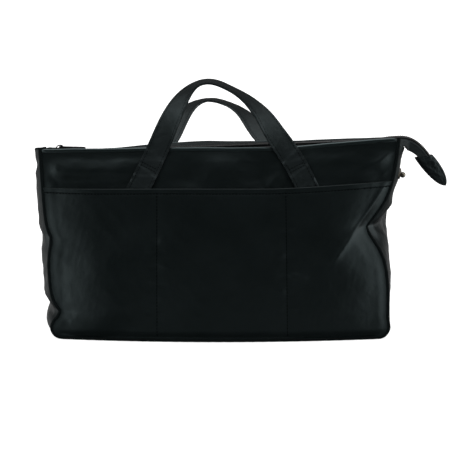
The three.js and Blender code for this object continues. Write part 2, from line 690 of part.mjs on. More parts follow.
// End tab: a leaf of cloth folded over the end of the tail
function endTab() {
  const half = TAB_WIDTH / 2;
  const leaf = new THREE.Shape();
  leaf.moveTo(-TAB_SKEW, -half);
  leaf.bezierCurveTo(TAB_LENGTH * 0.4, -half * 1.15, TAB_LENGTH * 0.9, -half * 0.9, TAB_LENGTH, 0);
  leaf.bezierCurveTo(TAB_LENGTH * 0.85, half * 0.9, TAB_LENGTH * 0.4, half * 1.15, 0, half);
  leaf.lineTo(0, TAB_DROP - TAPE_SHOULDER - 4 * CLEAR);
  const geometry = new THREE.ExtrudeGeometry(leaf,
    { depth: TAB_THICK, bevelEnabled: false, curveSegments: 8 });
  geometry.translate(3 * CLEAR, TAPE_SHOULDER - TAB_DROP, -TAB_THICK / 2);
  geometry.rotateX(Math.PI / 2).rotateY(rad(TAB_SLOPE));
  const end = tailRun.getPoint(1);
  return geometry.translate(end.x, end.y, end.z);
}
add("zip_end_tab", endTab(), nylon);

// Slider: two plates joined by a wedge, with side walls that leave a slot for the tape, and a bail on top
const CHANNEL_LOW = ZIP_HEIGHT - 2 * CLEAR;
const CHANNEL_HIGH = ZIP_HEIGHT + COIL_LIFT + COIL_R + CLEAR;
const SLOT_HIGH = ZIP_HEIGHT + TAPE_THICK + 2 * CLEAR;

function sliderPlate(low) {
  const nose = SLIDER_WIDTH / 2;
  const heel = COIL_SLIT + 2 * COIL_R + CLEAR + SLIDER_FLANGE;
  const outline = new THREE.Shape();
  outline.moveTo(-SLIDER_LENGTH / 2, -nose * 0.6);
  outline.lineTo(-SLIDER_LENGTH / 2 + 2, -nose);
  outline.lineTo(SLIDER_LENGTH / 2, -heel);
  outline.lineTo(SLIDER_LENGTH / 2, heel);
  outline.lineTo(-SLIDER_LENGTH / 2 + 2, nose);
  outline.lineTo(-SLIDER_LENGTH / 2, nose * 0.6);
  const geometry = new THREE.ExtrudeGeometry(outline, { depth: SLIDER_PLATE, bevelEnabled: false });
  return geometry.translate(SLIDER_X, 0, low);
}

function slider() {
  const x0 = SLIDER_X - SLIDER_LENGTH / 2;
  const x1 = SLIDER_X + SLIDER_LENGTH / 2;
  const wall = COIL_SLIT + 2 * COIL_R + CLEAR;
  let solid = toSolid(sliderPlate(CHANNEL_HIGH)).add(toSolid(sliderPlate(CHANNEL_LOW - SLIDER_PLATE)));
  const sink = SLIDER_PLATE / 2; // pieces that join a plate start inside it
  solid = solid.add(toSolid(box(x0, x0 + POST_LENGTH, -POST_HALF, POST_HALF,
    CHANNEL_LOW - sink, CHANNEL_HIGH + sink)));
  for (const face of [-1, 1]) {
    const [a, b] = [face * wall, face * (wall + SLIDER_FLANGE)].sort((p, q) => p - q);
    solid = solid.add(toSolid(box(x0 + POST_LENGTH, x1, a, b, SLOT_HIGH, CHANNEL_HIGH + sink)));
  }
  const bail = new THREE.Shape();
  const foot = CROWN_LENGTH / 2;
  bail.moveTo(foot, 0);
  bail.bezierCurveTo(foot, CROWN_RISE * 1.33, -foot, CROWN_RISE * 1.33, -foot, 0);
  const window = new THREE.Path();
  const reach = CROWN_LENGTH / 2 - CROWN_BAR;
  const rise = CROWN_RISE - CROWN_BAR;
  window.moveTo(-reach, sink);
  window.bezierCurveTo(-reach, rise * 1.33, reach, rise * 1.33, reach, sink);
  bail.holes.push(window);
  const bar = new THREE.ExtrudeGeometry(bail, { depth: CROWN_WIDTH, bevelEnabled: false, curveSegments: 8 });
  bar.rotateX(Math.PI / 2).translate(SLIDER_X, CROWN_WIDTH / 2, CHANNEL_HIGH + SLIDER_PLATE - sink);
  return fromSolid(solid.add(toSolid(bar)));
}
add("zip_slider", onSlope(slider()), gunmetal);

// Pull: a flat tongue whose eye straddles the bail
const PULL_AXIS_HEIGHT = CHANNEL_HIGH + SLIDER_PLATE + PULL_THICK / 2 + 2 * CLEAR;
const COIL_TOP = ZIP_HEIGHT + COIL_LIFT + COIL_R;
const PULL_DIP = Math.asin((PULL_AXIS_HEIGHT - PULL_THICK / 2 - CLEAR - COIL_TOP) / PULL_LENGTH);

function pull() {
  const half = PULL_WIDTH / 2;
  const neck = PULL_EYE_WIDTH / 2 + PULL_THICK;
  const tongue = new THREE.Shape();
  tongue.moveTo(-PULL_THICK / 2, -neck);
  tongue.lineTo(PULL_EYE_LENGTH, -neck);
  tongue.lineTo(PULL_LENGTH - half, -half);
  tongue.absarc(PULL_LENGTH - half, 0, half, -Math.PI / 2, Math.PI / 2, false);
  tongue.lineTo(PULL_EYE_LENGTH, neck);
  tongue.lineTo(-PULL_THICK / 2, neck);
  const eye = new THREE.Path();
  eye.moveTo(PULL_THICK / 2, -PULL_EYE_WIDTH / 2);
  eye.lineTo(PULL_THICK / 2, PULL_EYE_WIDTH / 2);
  eye.lineTo(PULL_EYE_LENGTH, PULL_EYE_WIDTH / 2);
  eye.lineTo(PULL_EYE_LENGTH, -PULL_EYE_WIDTH / 2);
  tongue.holes.push(eye);
  const geometry = new THREE.ExtrudeGeometry(tongue,
    { depth: PULL_THICK, bevelEnabled: false, curveSegments: 6 });
  geometry.translate(0, 0, -PULL_THICK / 2).rotateY(PULL_DIP);
  return geometry.translate(SLIDER_X, 0, PULL_AXIS_HEIGHT);
}
add("zip_pull", onSlope(pull()), gunmetal);

// Top stops: a clip on the inner edge of each tape, past the slider
for (const [face, word] of [[-1, "front"], [1, "back"]]) {
  const near = face * (COIL_SLIT + CLEAR);
  const far = face * POST_HALF;
  const [a, b] = [near, far].sort((p, q) => p - q);
  const stop = box(ZIP_LEFT, ZIP_LEFT + STOP_LENGTH, a, b, ZIP_HEIGHT - CLEAR, ZIP_HEIGHT + COIL_LIFT);
  add(`zip_stop_${word}`, onSlope(stop), gunmetal);
}

// Handles: each loop swings on its tacks, and its ends are sewn down the panel into the pocket
class LoopCurve extends THREE.Curve {
  getPoint(t) {
    let points = [[TACK_LEFT, 0], ...LOOP_GUIDES, [TACK_RIGHT, 0]].map(([x, up]) => new THREE.Vector2(x, up));
    while (points.length > 1) points = points.slice(1).map((p, i) => points[i].clone().lerp(p, t));
    return points[0];
  }
}
const loopCurve = new LoopCurve();

const TACK_ACROSS = (TACK_RIGHT - TACK_LEFT) / 2 / seamReach(TACK_HEIGHT);
const TACK_FACE = panelFace(TACK_ACROSS, TACK_HEIGHT);
const RIM_FACE = panelFace(TACK_ACROSS, RIM_HEIGHT);
const PANEL_LEAN = Math.atan2(TACK_FACE - RIM_FACE, RIM_HEIGHT - TACK_HEIGHT);

// Places a point of the strap: x along the bag, up along the strap's plane, out from the panel.
function strapPoint(face, lean, x, up, out) {
  const away = TACK_FACE + STRAP_GAP + STRAP_THICK / 2 - up * Math.sin(lean) + out * Math.cos(lean);
  return vec(x, face * away, TACK_HEIGHT + up * Math.cos(lean) + out * Math.sin(lean));
}

function strapRing(face, lean, at, across, flat) {
  const ring = [];
  for (const [w, t] of [[-1, -1], [1, -1], [1, 1], [-1, 1]]) {
    const width = (w * STRAP_WIDTH) / 2;
    const thick = (t * STRAP_THICK) / 2;
    const x = at.x + across.x * (width * Math.cos(flat) - thick * Math.sin(flat));
    const up = at.y + across.y * (width * Math.cos(flat) - thick * Math.sin(flat));
    ring.push(strapPoint(face, lean, x, up, width * Math.sin(flat) + thick * Math.cos(flat)));
  }
  return ring;
}

// The strap lies flat over the rim and turns on edge towards its crown.
function loopTwist(face, t) {
  const twist = face < 0 ? FRONT_LOOP_TWIST : BACK_LOOP_TWIST;
  return rad(twist) * smooth(Math.min(t, 1 - t), LOOP_FLAT, LOOP_TURNED);
}

function loopGeometry(face) {
  const rings = [];
  const steps = 26;
  for (let i = 0; i <= steps; i++) {
    const t = i / steps;
    const at = loopCurve.getPoint(t);
    const along = loopCurve.getTangent(t);
    const level = i === 0 || i === steps;
    const across = level ? new THREE.Vector2(i === 0 ? 1 : -1, 0) : new THREE.Vector2(along.y, -along.x);
    if (level) at.y += TACK_GAP / 2;
    rings.push(strapRing(face, PANEL_LEAN, at, across, loopTwist(face, t)));
  }
  return loft(rings);
}

const HINGE_OUT = STRAP_THICK / 2; // the loop turns about the tack line on its outer face

function backLoop() {
  const geometry = loopGeometry(1);
  const hinge = strapPoint(1, PANEL_LEAN, 0, 0, HINGE_OUT);
  geometry.translate(0, -hinge.y, -hinge.z);
  geometry.rotateX(-(PANEL_LEAN + rad(BACK_LOOP_TILT)));
  return geometry.translate(0, hinge.y, hinge.z);
}
add("front_handle_loop", loopGeometry(-1), nylon);
add("back_handle_loop", backLoop(), nylon);

function strapEnd(face, side) {
  const grid = [];
  for (let i = 0; i <= 3; i++) {
    const height = TACK_HEIGHT - lerp(TACK_GAP / 2, STRAP_TAIL, i / 3);
    const splay = (TACK_HEIGHT - height) * Math.tan(rad(STRAP_TAIL_SPLAY));
    grid.push([-1, 0, 1].map((w) => {
      const x = (side < 0 ? TACK_LEFT : TACK_RIGHT) + side * splay + (w * STRAP_WIDTH) / 2;
      if (i === 0) {
        return [1, -1].map((t) => strapPoint(face, PANEL_LEAN, x, -TACK_GAP / 2, (t * STRAP_THICK) / 2));
      }
      // the height that the panel had here before it sagged
      const cloth = height + backSag(x) * backOf(face) * share(height) ** 2;
      const away = panelFace(x / seamReach(cloth), cloth) + STRAP_GAP;
      return [vec(x, face * (away + STRAP_THICK), height), vec(x, face * away, height)];
    }));
  }
  return sheet(grid);
}
for (const [face, word] of [[-1, "front"], [1, "back"]]) {
  add(`${word}_handle_end_left`, strapEnd(face, -1), nylon);
  add(`${word}_handle_end_right`, strapEnd(face, 1), nylon);
}

export default bag;
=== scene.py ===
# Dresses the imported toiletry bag: cloth, straps, zip and stitching, then floor, light and camera.
import math

import bpy
import numpy as np
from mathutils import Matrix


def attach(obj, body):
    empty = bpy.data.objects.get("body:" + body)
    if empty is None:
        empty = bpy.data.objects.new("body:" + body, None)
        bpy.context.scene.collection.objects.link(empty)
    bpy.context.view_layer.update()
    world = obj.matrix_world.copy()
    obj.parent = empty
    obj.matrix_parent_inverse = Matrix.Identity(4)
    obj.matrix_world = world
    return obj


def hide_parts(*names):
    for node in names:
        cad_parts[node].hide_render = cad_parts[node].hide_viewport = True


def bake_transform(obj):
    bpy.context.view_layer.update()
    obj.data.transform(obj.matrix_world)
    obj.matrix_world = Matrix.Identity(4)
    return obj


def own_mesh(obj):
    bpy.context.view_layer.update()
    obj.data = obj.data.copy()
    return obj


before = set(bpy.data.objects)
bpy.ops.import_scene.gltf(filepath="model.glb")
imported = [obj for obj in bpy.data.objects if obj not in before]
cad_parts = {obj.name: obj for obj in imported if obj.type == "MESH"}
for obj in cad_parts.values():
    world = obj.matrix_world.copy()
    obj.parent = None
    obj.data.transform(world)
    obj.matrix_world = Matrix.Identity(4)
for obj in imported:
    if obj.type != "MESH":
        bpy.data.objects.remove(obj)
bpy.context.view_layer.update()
MM = 0.001
FACES = ((-1, "front"), (1, "back"))
SIDES = ((-1, "left"), (1, "right"))

# Form of the bag in millimetres, the same as in the part's source
BASE_LENGTH, RIM_LENGTH = 308.0, 331.0
BASE_DEPTH, MOUTH_DEPTH = 104.0, 34.0
RIM = 173.0
RISE_RIGHT, RISE_LEFT = 8.0, -2.0
RISE_START_RIGHT, RISE_START_LEFT = 40.0, 20.0
BACK_SAG_LEFT, BACK_SAG_RIGHT, BACK_SAG_END = 6.0, 4.0, 2.5
CORNER_R = 9.0
BASE_CROWN, BELLY_CROWN, RIM_CROWN = 10.0, 13.0, 3.0
GUSSET_BULGE = {-1: 10.0, 1: 5.0}
GUSSET_DIP = {-1: 1.0, 1: 10.5}
GUSSET_FLARE = {-1: 0.0, 1: 2.5}
DENTS = {1: [(98.0, 24.5, 21.0)], -1: [(88.0, 4.0, 12.0), (25.0, 7.0, 9.0)]}
BACK_DENT = 0.1
CLEAR = 0.3
CLOTH, LINING, WELT_R = 1.2, 0.8, 1.6
CORNER_TOP = WELT_R + CORNER_R
HEM_HEIGHT, HEM_THICK = 3.0, 2.0
PANEL_TOP = RIM - HEM_HEIGHT - CLEAR
POCKET_TOP, POCKET_CLOTH, POCKET_EASE = RIM - 35.5, 1.0, 3.6
POCKET_EASE_TOP = 16.0
STRAP_WIDTH, STRAP_THICK, STRAP_GAP = 20.0, 2.0, 1.0
TACK_X = {-1: -65.7, 1: 71.4}
TACK = RIM - 19.5
STRAP_TAIL, STRAP_SPLAY = 27.0, math.radians(27)
LOOP_GUIDES = [(-38.2, 55), (-32.7, 114), (3.9, 104.2), (55.5, 30)]
LOOP_TWIST = {-1: math.radians(66), 1: math.radians(-36)}
BACK_TILT = math.radians(54)
ZIP_Z, ZIP_FALL = RIM + 1, 10.5
ZIP_LEFT, ZIP_JOIN, ZIP_CORNER = 7.5 - RIM_LENGTH / 2, RIM_LENGTH / 2 - 37.5, RIM_LENGTH / 2 + 2.5
ZIP_CORNER_Z = RIM + 4.5
TAPE_THICK, TAPE_HALF, TAPE_HALF_END, TAPE_SHOULDER = 0.7, 13.0, 9.5, 3.2
COIL_R, COIL_SLIT = 1.3, 0.25
TAIL_REACH, TAIL_DROP = 26.5, 19.5
DROOP_START, DROOP_END = 32.0, 82.0
TAB_LENGTH, TAB_WIDTH, TAB_THICK, TAB_SLOPE, TAB_DROP = 28.0, 15.0, 3.6, math.radians(52), 5.5
TAB_SKEW = 8.0
SLIDER_X, SLIDER_TRAVEL, SLIDER_HALF = ZIP_LEFT + 9, 255.0, 6.0
POST_END = SLIDER_X - 3 + CLEAR
SNAP_Z, SNAP_SPREAD = RIM - 30, 22.0
SNAP_LIFT, SNAP_FLANGE = 2.5 * CLEAR, 0.8
FLANGE_R, BALL_R, NECK_R, SOCKET_R, SOCKET_HEIGHT = 4.2, 2.7, 1.9, 3.6, 2.6

# Form that only the scene has, finer than the solids or nearer to the photo
PINCHES = {1: [(99.5, 2.4)], -1: [(92.5, 1.4), (25.5, 1.6)]}  # height and depth of the dents' sharp tips
PINCH_SPAN = 4.5
LOOP_FLAT, LOOP_TURNED = 0.05, 0.42  # a strap turns on edge between these shares of its loop
BACK_DRAWN, FRONT_BELLY = {-1: 3.5, 1: 11.5}, 3.4  # how far the loops' legs stray from the solids' curve
POCKET_SIDE_RUN = 46.0  # the gap behind a pocket closes over this width, in the solids over less
TUCK = 0.5  # cloth ends this far short of the seam line, under the welt
COVER = 0.6  # panels and gussets run this far up into their hems
INNER_DENT = 0.45  # share of the seams' dents left further in
HEM_TURN_R = 0.5  # of the pocket's folded top edge
HEM_SEWN, HEM_FOLD = 4.6, 0.8  # how far down it is sewn, and the fold
DIVIDER_LEFT, DIVIDER_RIGHT = -57.4, (61.4, 59.6)  # where the pocket is sewn; the right one leans
DIVIDER_RUN = 131


def lerp(a, b, t):
    return a + (b - a) * t


def smooth(v, low, high):
    t = np.clip((np.asarray(v, float) - low) / (high - low), 0, 1)
    return t * t * (3 - 2 * t)


def bell(v, at, width):
    return np.exp(-(((v - at) / width) ** 2))


def unit(v):
    return v / np.linalg.norm(v, axis=-1, keepdims=True)


def spans(*runs):
    return np.concatenate([np.linspace(*run) for run in runs])


def circle(sides):
    return np.arange(sides) / sides * 2 * np.pi


def bezier(points, t):
    p = np.asarray(points, float)
    t = t[:, None]
    return (1 - t) ** 3 * p[0] + 3 * (1 - t) ** 2 * t * p[1] + 3 * (1 - t) * t**2 * p[2] + t**3 * p[3]


def lengths(path):
    """Length from a path's start to each of its points."""
    return np.concatenate([[0], np.cumsum(np.linalg.norm(np.diff(path, axis=0), axis=1))])


def sampled(s, run, points):
    """Points of a path, or directions along it, at lengths s."""
    return np.stack([np.interp(s, run, points[:, k]) for k in range(3)], 1)


def xyz(x, y, z):
    """Points from arrays or numbers, spread over one another."""
    return np.stack(np.broadcast_arrays(x, y, z), -1)


def seam_depth(h):
    return lerp(BASE_DEPTH, MOUTH_DEPTH, h / RIM) / 2


def seam_reach(h):
    return lerp(BASE_LENGTH, RIM_LENGTH, h / RIM) / 2


def tips(side, h):
    """The sharp tips of the dents in a seam."""
    return sum(tip * np.exp(-np.abs(h - at) / PINCH_SPAN) for at, tip in PINCHES[side])


def dent(side, h, pinched=True):
    drawn = sum(d / (1 + ((h - at) / span) ** 2) for at, d, span in DENTS[side])
    return drawn + pinched * tips(side, h)


def crown(h):
    s = h / RIM
    return lerp(BASE_CROWN, RIM_CROWN, s) + (BELLY_CROWN - (BASE_CROWN + RIM_CROWN) / 2) * 4 * s * (1 - s)


def rim_rise(x):
    right = RISE_RIGHT * smooth(x, RISE_START_RIGHT, RIM_LENGTH / 2)
    return right + RISE_LEFT * smooth(-x, RISE_START_LEFT, RIM_LENGTH / 2)


def back_sag(x):
    turn = RIM_LENGTH / 2 - 2 * RISE_START_LEFT
    right = BACK_SAG_RIGHT * smooth(x, RISE_START_RIGHT, RIM_LENGTH / 2)
    left = BACK_SAG_LEFT * smooth(-x, RISE_START_LEFT / 2, turn)
    return right + left - BACK_SAG_END * smooth(-x, turn, RIM_LENGTH / 2)


def lifted(x, h, back):
    """Height after the rim's rise; back is 0 at the front panel and 1 at the back panel."""
    return h + (rim_rise(x) - back_sag(x) * back**2) * (h / RIM) ** 2


def panel_face(across, h):
    return seam_depth(h) + crown(h) * (1 - across * across)


def edge_reach(side, face, h, depth):
    """How far a panel's side edge lies from the middle, with the rounded lower corner."""
    drop = np.clip(CORNER_TOP - h, 0, CORNER_R)
    reach = seam_reach(h) - CORNER_R + np.sqrt(CORNER_R**2 - drop**2)
    drawn = depth * dent(side, h, depth == 1) * np.clip((h - CORNER_TOP) / CORNER_R, 0, 1)
    return reach - drawn * (1 if face < 0 else BACK_DENT)


def from_seams(x, left, right):
    return np.minimum(x - left, right - x)


# Soft relief on the cloth. Places are along it and up it, and heights are how far folds stand out.

def crest(x, z, a, b, soft):
    """Share of the way from a to b, whether left of that line, and the distance, rounded off at 0."""
    dx, dz = b[0] - a[0], b[1] - a[1]
    length = math.hypot(dx, dz)
    t = ((x - a[0]) * dx + (z - a[1]) * dz) / length**2
    d = ((x - a[0]) * dz - (z - a[1]) * dx) / length
    return t, d < 0, np.sqrt(d * d + soft * soft) - soft


def ridge(x, z, a, b, height, left, right, soft=0.9, taper=0.3):
    """A crease from a to b that falls off over left and right millimetres on its two sides."""
    t, on_left, away = crest(x, z, a, b, soft)
    fade = smooth(t, -0.05, taper) * (1 - smooth(t, 1 - taper, 1.05))
    return height * np.exp(-away / np.where(on_left, left, right)) * fade


def facet(x, z, a, b, height, gentle, steep, soft=1.2, ends=(0.2, 0.35)):
    """A fold with a crest from a to b: a long rise on its left and a flat slope down on its right."""
    t, on_left, away = crest(x, z, a, b, soft)
    rise = np.exp(-((away / gentle) ** 1.3))
    slope = 1 - smooth(away, 0, steep * 1.5) * 0.35 - 0.65 * np.clip(away / steep, 0, 1)
    fade = smooth(t, -0.1, ends[0]) * (1 - smooth(t, 1 - ends[1], 1.1))
    return height * np.where(on_left, rise, slope) * fade


def bump(x, z, at, radius, height):
    return height * np.exp(-((x - at[0]) ** 2 + (z - at[1]) ** 2) / radius**2)


def folds(x, z, facets=(), ridges=(), bumps=()):
    """The sum of some facets, ridges and bumps. A row holds what its function takes after x and z."""
    kinds = ((facet, facets), (ridge, ridges), (bump, bumps))
    return sum(kind(x, z, *values) for kind, rows in kinds for values in rows)


RIGHT_PLANES = [((97, 64), (137, 116), 2.0, 60, 50, 0.5, (0.25, 0.75)),
                ((97, 64), (161, 147), 1.1, 40, 18, 0.5, (0.2, 0.2))]
RIGHT_CREASES = [((158, 143), (97, 64), 1.7, 2.8, 2.6, 0.3, 0.2), ((61, 62), (80, 58), 0.8, 2.0, 3.2, 0.5)]
RIGHT_BUMPS = [((120, 40), 36, 2.0)]
LEFT_PLANES = [((-116, 85), (-91, 14), 3.6, 44, 42, 3.0, (0.35, 0.25))]
LEFT_CREASES = [((-150, 27), (-130, 15), 1.3, 3.5, 5, 0.9, 0.7),
                ((-150, 27), (-132, 38), 0.5, 4, 4, 0.9, 0.7)]
LEFT_BUMPS = [((-148, 116), 20, 1.2), ((-157, 93), 11, -1.6), ((-151, 26), 9, -2.2)]
BAND_PLANES = [((124, 143), (170, 168), 1.4, 5, 12, 0.4), ((-152, 136), (-169, 151), 1.8, 7, 6, 0.7),
               ((43, 138), (57, 152), 1.4, 5, 9, 0.6)]
BAND_CREASES = [((160, 149), (146, 142), 1.2, 2.6, 2.2), ((169, 168), (130, 146), 0.8, 3.5, 3.2, 0.3, 0.2)]
BAND_BUMPS = [((-3, 151), 17, 1.3), ((-30, 148), 12, -1.3), ((36, 148), 13, -1.3)]
GUSSET_CREASES = {
    1: [((-36, 97), (2, 122), 2.6, 6, 5), ((-36, 99), (0, 80), 2.2, 5, 7),
        ((-24, 150), (6, 128), 1.4, 5, 6)],
    -1: [((-36, 88), (-4, 104), 1.6, 6, 6), ((-50, 25), (-10, 44), 1.8, 6, 7),
         ((-20, 160), (8, 132), 1.2, 5, 6)],
}
GUSSET_BUMPS = {1: [((-33, 98), 10, -1.5)], -1: []}
PUCKERS = [(DIVIDER_LEFT, z) for z in (92, 83, 70, 54, 40, 27.5)]
PUCKERS += [(60.8, z) for z in (101, 78, 61.6, 45, 30)]


def ripple(v, seed):
    """A smooth uneven wave about zero."""
    parts = [(1.0, 0.61), (1.73, 0.27), (2.91, 0.12)]
    return sum(w * np.sin(k * v + seed * (3.1 + 1.7 * k)) for k, w in parts)


def crumple(x, z, length, seed):
    """Uneven creasing about zero: waves in many directions, folded into narrow crests."""
    rng = np.random.default_rng(seed)
    out = np.zeros(np.broadcast(x, z).shape)
    for octave in (1.0, 0.45):
        wave = np.zeros_like(out)
        for turn in rng.uniform(0, np.pi, 7):
            k = 2 * np.pi / (length * octave * rng.uniform(0.7, 1.5))
            wave = wave + np.sin(k * (x * math.cos(turn) + z * math.sin(turn)) + rng.uniform(0, 6.28))
        out = out + octave * (0.75 - np.abs(wave) / 2.6)
    return out


def seam_gathers(x, z, left, right, seed):
    """Small gathers that run in from the side seams."""
    near, far = x - left, right - x
    out = np.exp(-np.abs(near) / 8) * ripple(z / 2.1 + near / 9, seed)
    return 0.15 * (out + np.exp(-np.abs(far) / 8) * ripple(z / 2.3 + far / 8, seed + 5))


def divider(z):
    return [np.full_like(z, DIVIDER_LEFT), lerp(*DIVIDER_RIGHT, z / DIVIDER_RUN)]


def pocket_relief(x, z, left, right, front):
    """Three compartments between the sewn dividers, with puckers, slow waves and gathered seams."""
    away = np.minimum(*(np.abs(x - line) for line in divider(z)))
    filled = smooth(z, 1, 30) * (1 - 0.5 * smooth(z, 100, 136)) * smooth(from_seams(x, left, right), 0, 45)
    out = filled * (0.15 * (1 - np.exp(-away / 5)) + 1.0 * (1 - np.exp(-away / 26)))
    out += 0.1 * crumple(x, z, 26, 11 + front) * smooth(z, 6, 20)
    for k, (px, pz) in enumerate(PUCKERS):
        side = -1 if k % 2 else 1
        end = (px + side * (9 + 2 * (k % 3)), pz + 2.5 - 2 * (k % 3))
        out += ridge(x, z, (px, pz), end, 0.5, 1.5, 2.0, 0.5, 0.5)
        out -= 0.32 * bell(x, px - side * 3, 4.5) * bell(z, pz - 2, 2.2)
    out += 0.35 * ripple(x / 27 + z / 49, 1.3 + front) * smooth(z, 10, 40) * (1 - smooth(z, 100, 134))
    out += seam_gathers(x, z, left, right, 3.3 + front)
    for inwards in (x - left, right - x):
        out += 0.3 * bell(inwards, 5.5, 4.5) * smooth(z, 4, 14)
    return out - 1.8 * (1 - smooth(z, 1, 11))


def front_folds(x, z, inwards):
    """The front pocket's folds: planes that run out to the seams, and creases."""
    planes = folds(x, z, RIGHT_PLANES) * smooth(inwards, 0, 18)
    creases = folds(x, z, (), RIGHT_CREASES, RIGHT_BUMPS) * smooth(inwards, 0, 10)
    return planes + creases + folds(x, z, LEFT_PLANES, LEFT_CREASES, LEFT_BUMPS) * smooth(inwards, -3, 19)


def band_relief(x, z, front):
    """The plain band above the pocket: a soft roll, slow waves and, on the front, creases."""
    out = (0.9 * bell(z, 156, 8) - 0.7 * bell(z, 143, 6)) * lerp(0.35, 1, smooth(np.abs(x), 35, 95))
    out += 0.35 * ripple(x / 14 + z / 34, 0.7 + front) * bell(z, 151, 12)
    out += 0.16 * crumple(x, z, 24, 23 + front)
    if front:
        out += folds(x, z, BAND_PLANES, BAND_CREASES, BAND_BUMPS)
        out += 2.0 * bell(z, 152, 9) * smooth(-x, 70, 100) * smooth(x, -164, -140)
    return out * (1 - smooth(z, 160, 170)) * smooth(z, 100, 130)


def pocket_ease(x, h):
    up = np.clip(h / (POCKET_TOP - POCKET_EASE_TOP / 2), 0, 1) ** 2
    side = smooth(seam_reach(h) - np.abs(x), WELT_R, WELT_R + POCKET_SIDE_RUN)
    return POCKET_CLOTH + CLEAR + (POCKET_EASE - CLEAR) * up * side


# Mesh building

def facing_out(verts, faces):
    """Turns the four-cornered faces of a closed mesh outwards."""
    a, b, c, d = (verts[faces[:, k]] for k in range(4))
    volume = (a * (np.cross(b, c) + np.cross(c, d))).sum()
    return faces if volume > 0 else faces[:, ::-1]


def arc_uv(grid):
    """Cloth coordinates of a grid: lengths along its rows and columns."""
    u, v = np.zeros((2, *grid.shape[:2]))
    u[:, 1:] = np.cumsum(np.linalg.norm(np.diff(grid, axis=1), axis=2), axis=1)
    v[1:] = np.cumsum(np.linalg.norm(np.diff(grid, axis=0), axis=2), axis=0)
    return np.stack([u, v], axis=2).reshape(-1, 2)


def sheet_mesh(outer, inner):
    """A closed sheet between two equal grids of points."""
    rows, cols = outer.shape[:2]
    index = np.arange(rows * cols).reshape(rows, cols)
    a, b = index[:-1, :-1].ravel(), index[:-1, 1:].ravel()
    c, d = index[1:, 1:].ravel(), index[1:, :-1].ravel()
    back = rows * cols
    rim = np.concatenate([index[0, :-1], index[:-1, -1], index[-1, :0:-1], index[:0:-1, 0]])
    after = np.roll(rim, -1)
    sides = np.stack([after, rim, rim + back, after + back], 1)
    faces = np.concatenate([np.stack([a, b, c, d], 1), np.stack([a, d, c, b], 1) + back, sides])
    verts = np.concatenate([outer.reshape(-1, 3), inner.reshape(-1, 3)])
    uv = arc_uv(outer)
    return verts, facing_out(verts, faces), np.concatenate([uv, uv])


def slab_mesh(x, y, z, thick):
    """A closed sheet over a grid, as thick upwards as given."""
    return sheet_mesh(xyz(x, y, z), xyz(x, y, z + thick))


def bar_mesh(rings):
    """A closed bar through rings, shape (count, sides, 3). Its ends close on their middles."""
    count, sides = rings.shape[:2]
    hub = count * sides
    index = np.arange(hub).reshape(count, sides)
    turned = np.roll(index, -1, axis=1)
    faces = [np.stack([index[:-1].ravel(), turned[:-1].ravel(), turned[1:].ravel(), index[1:].ravel()], 1)]
    around = np.linalg.norm(np.diff(rings[:, [*range(sides), 0]], axis=1), axis=2)
    u = np.concatenate([np.zeros((count, 1)), np.cumsum(around, axis=1)[:, :-1]], axis=1)
    v = np.repeat(lengths(rings.mean(axis=1))[:, None], sides, axis=1)
    for first, second, middle in ((turned[0], index[0], hub), (index[-1], turned[-1], hub + 1)):
        faces.append(np.stack([first, second, np.full(sides, middle), np.full(sides, middle)], 1))
    verts = np.concatenate([rings.reshape(-1, 3), rings[[0, -1]].mean(axis=1)])
    uv = np.concatenate([np.stack([u, v], 2).reshape(-1, 2), [[0, v[0, 0]], [0, v[-1, 0]]]])
    return verts, facing_out(verts, np.concatenate(faces)), uv


def joined(meshes):
    """Several meshes as one."""
    verts, faces, uvs = zip(*meshes)
    starts = np.cumsum([0, *(len(v) for v in verts)])
    return np.concatenate(verts), np.concatenate([f + s for f, s in zip(faces, starts)]), np.concatenate(uvs)


def placed(name, data):
    obj = bpy.data.objects.new(name, data)
    bpy.context.scene.collection.objects.link(obj)
    return obj


def piece(name, mesh_data, material, replaces=(), body="bag", crease=50):
    verts, faces, uv = mesh_data
    polygons = [list(dict.fromkeys(f)) for f in faces.tolist()]
    mesh = bpy.data.meshes.new(name)
    mesh.from_pydata((verts * MM).tolist(), [], polygons)
    corners = np.empty(len(mesh.loops), dtype=np.int32)
    mesh.loops.foreach_get("vertex_index", corners)
    layer = mesh.uv_layers.new(name="cloth")
    layer.data.foreach_set("uv", (uv[corners] * MM).astype(np.float32).ravel())
    mesh.polygons.foreach_set("use_smooth", np.ones(len(mesh.polygons), dtype=bool))
    mesh.set_sharp_from_angle(angle=math.radians(crease))
    mesh.materials.append(material)
    obj = placed(name, mesh)
    if body:
        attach(obj, body)
    if replaces:
        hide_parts(*replaces)
    return obj


def frames(path, side):
    """Directions across a path: near the given side, and up from it."""
    ahead = unit(np.gradient(path, axis=0))
    across = unit(side - ahead * (ahead @ side)[:, None])
    return across, np.cross(ahead, across)


def tube_mesh(path, radius, sides, side=(0.0, 1.0, 0.0)):
    across, up = frames(path, np.asarray(side, float))
    angle = circle(sides)[None, :, None]
    radius = np.broadcast_to(radius, len(path))[:, None, None]
    return bar_mesh(path[:, None] + (across[:, None] * np.cos(angle) + up[:, None] * np.sin(angle)) * radius)


BEAD = [(-0.5, 0.25), (-0.42, 0.8), (0.0, 1.0), (0.42, 0.8), (0.5, 0.25)]  # place and fullness along a stitch
BEAD_FLAT, BEAD_LIFT, BEAD_SINK = 0.8, 0.55, 0.05


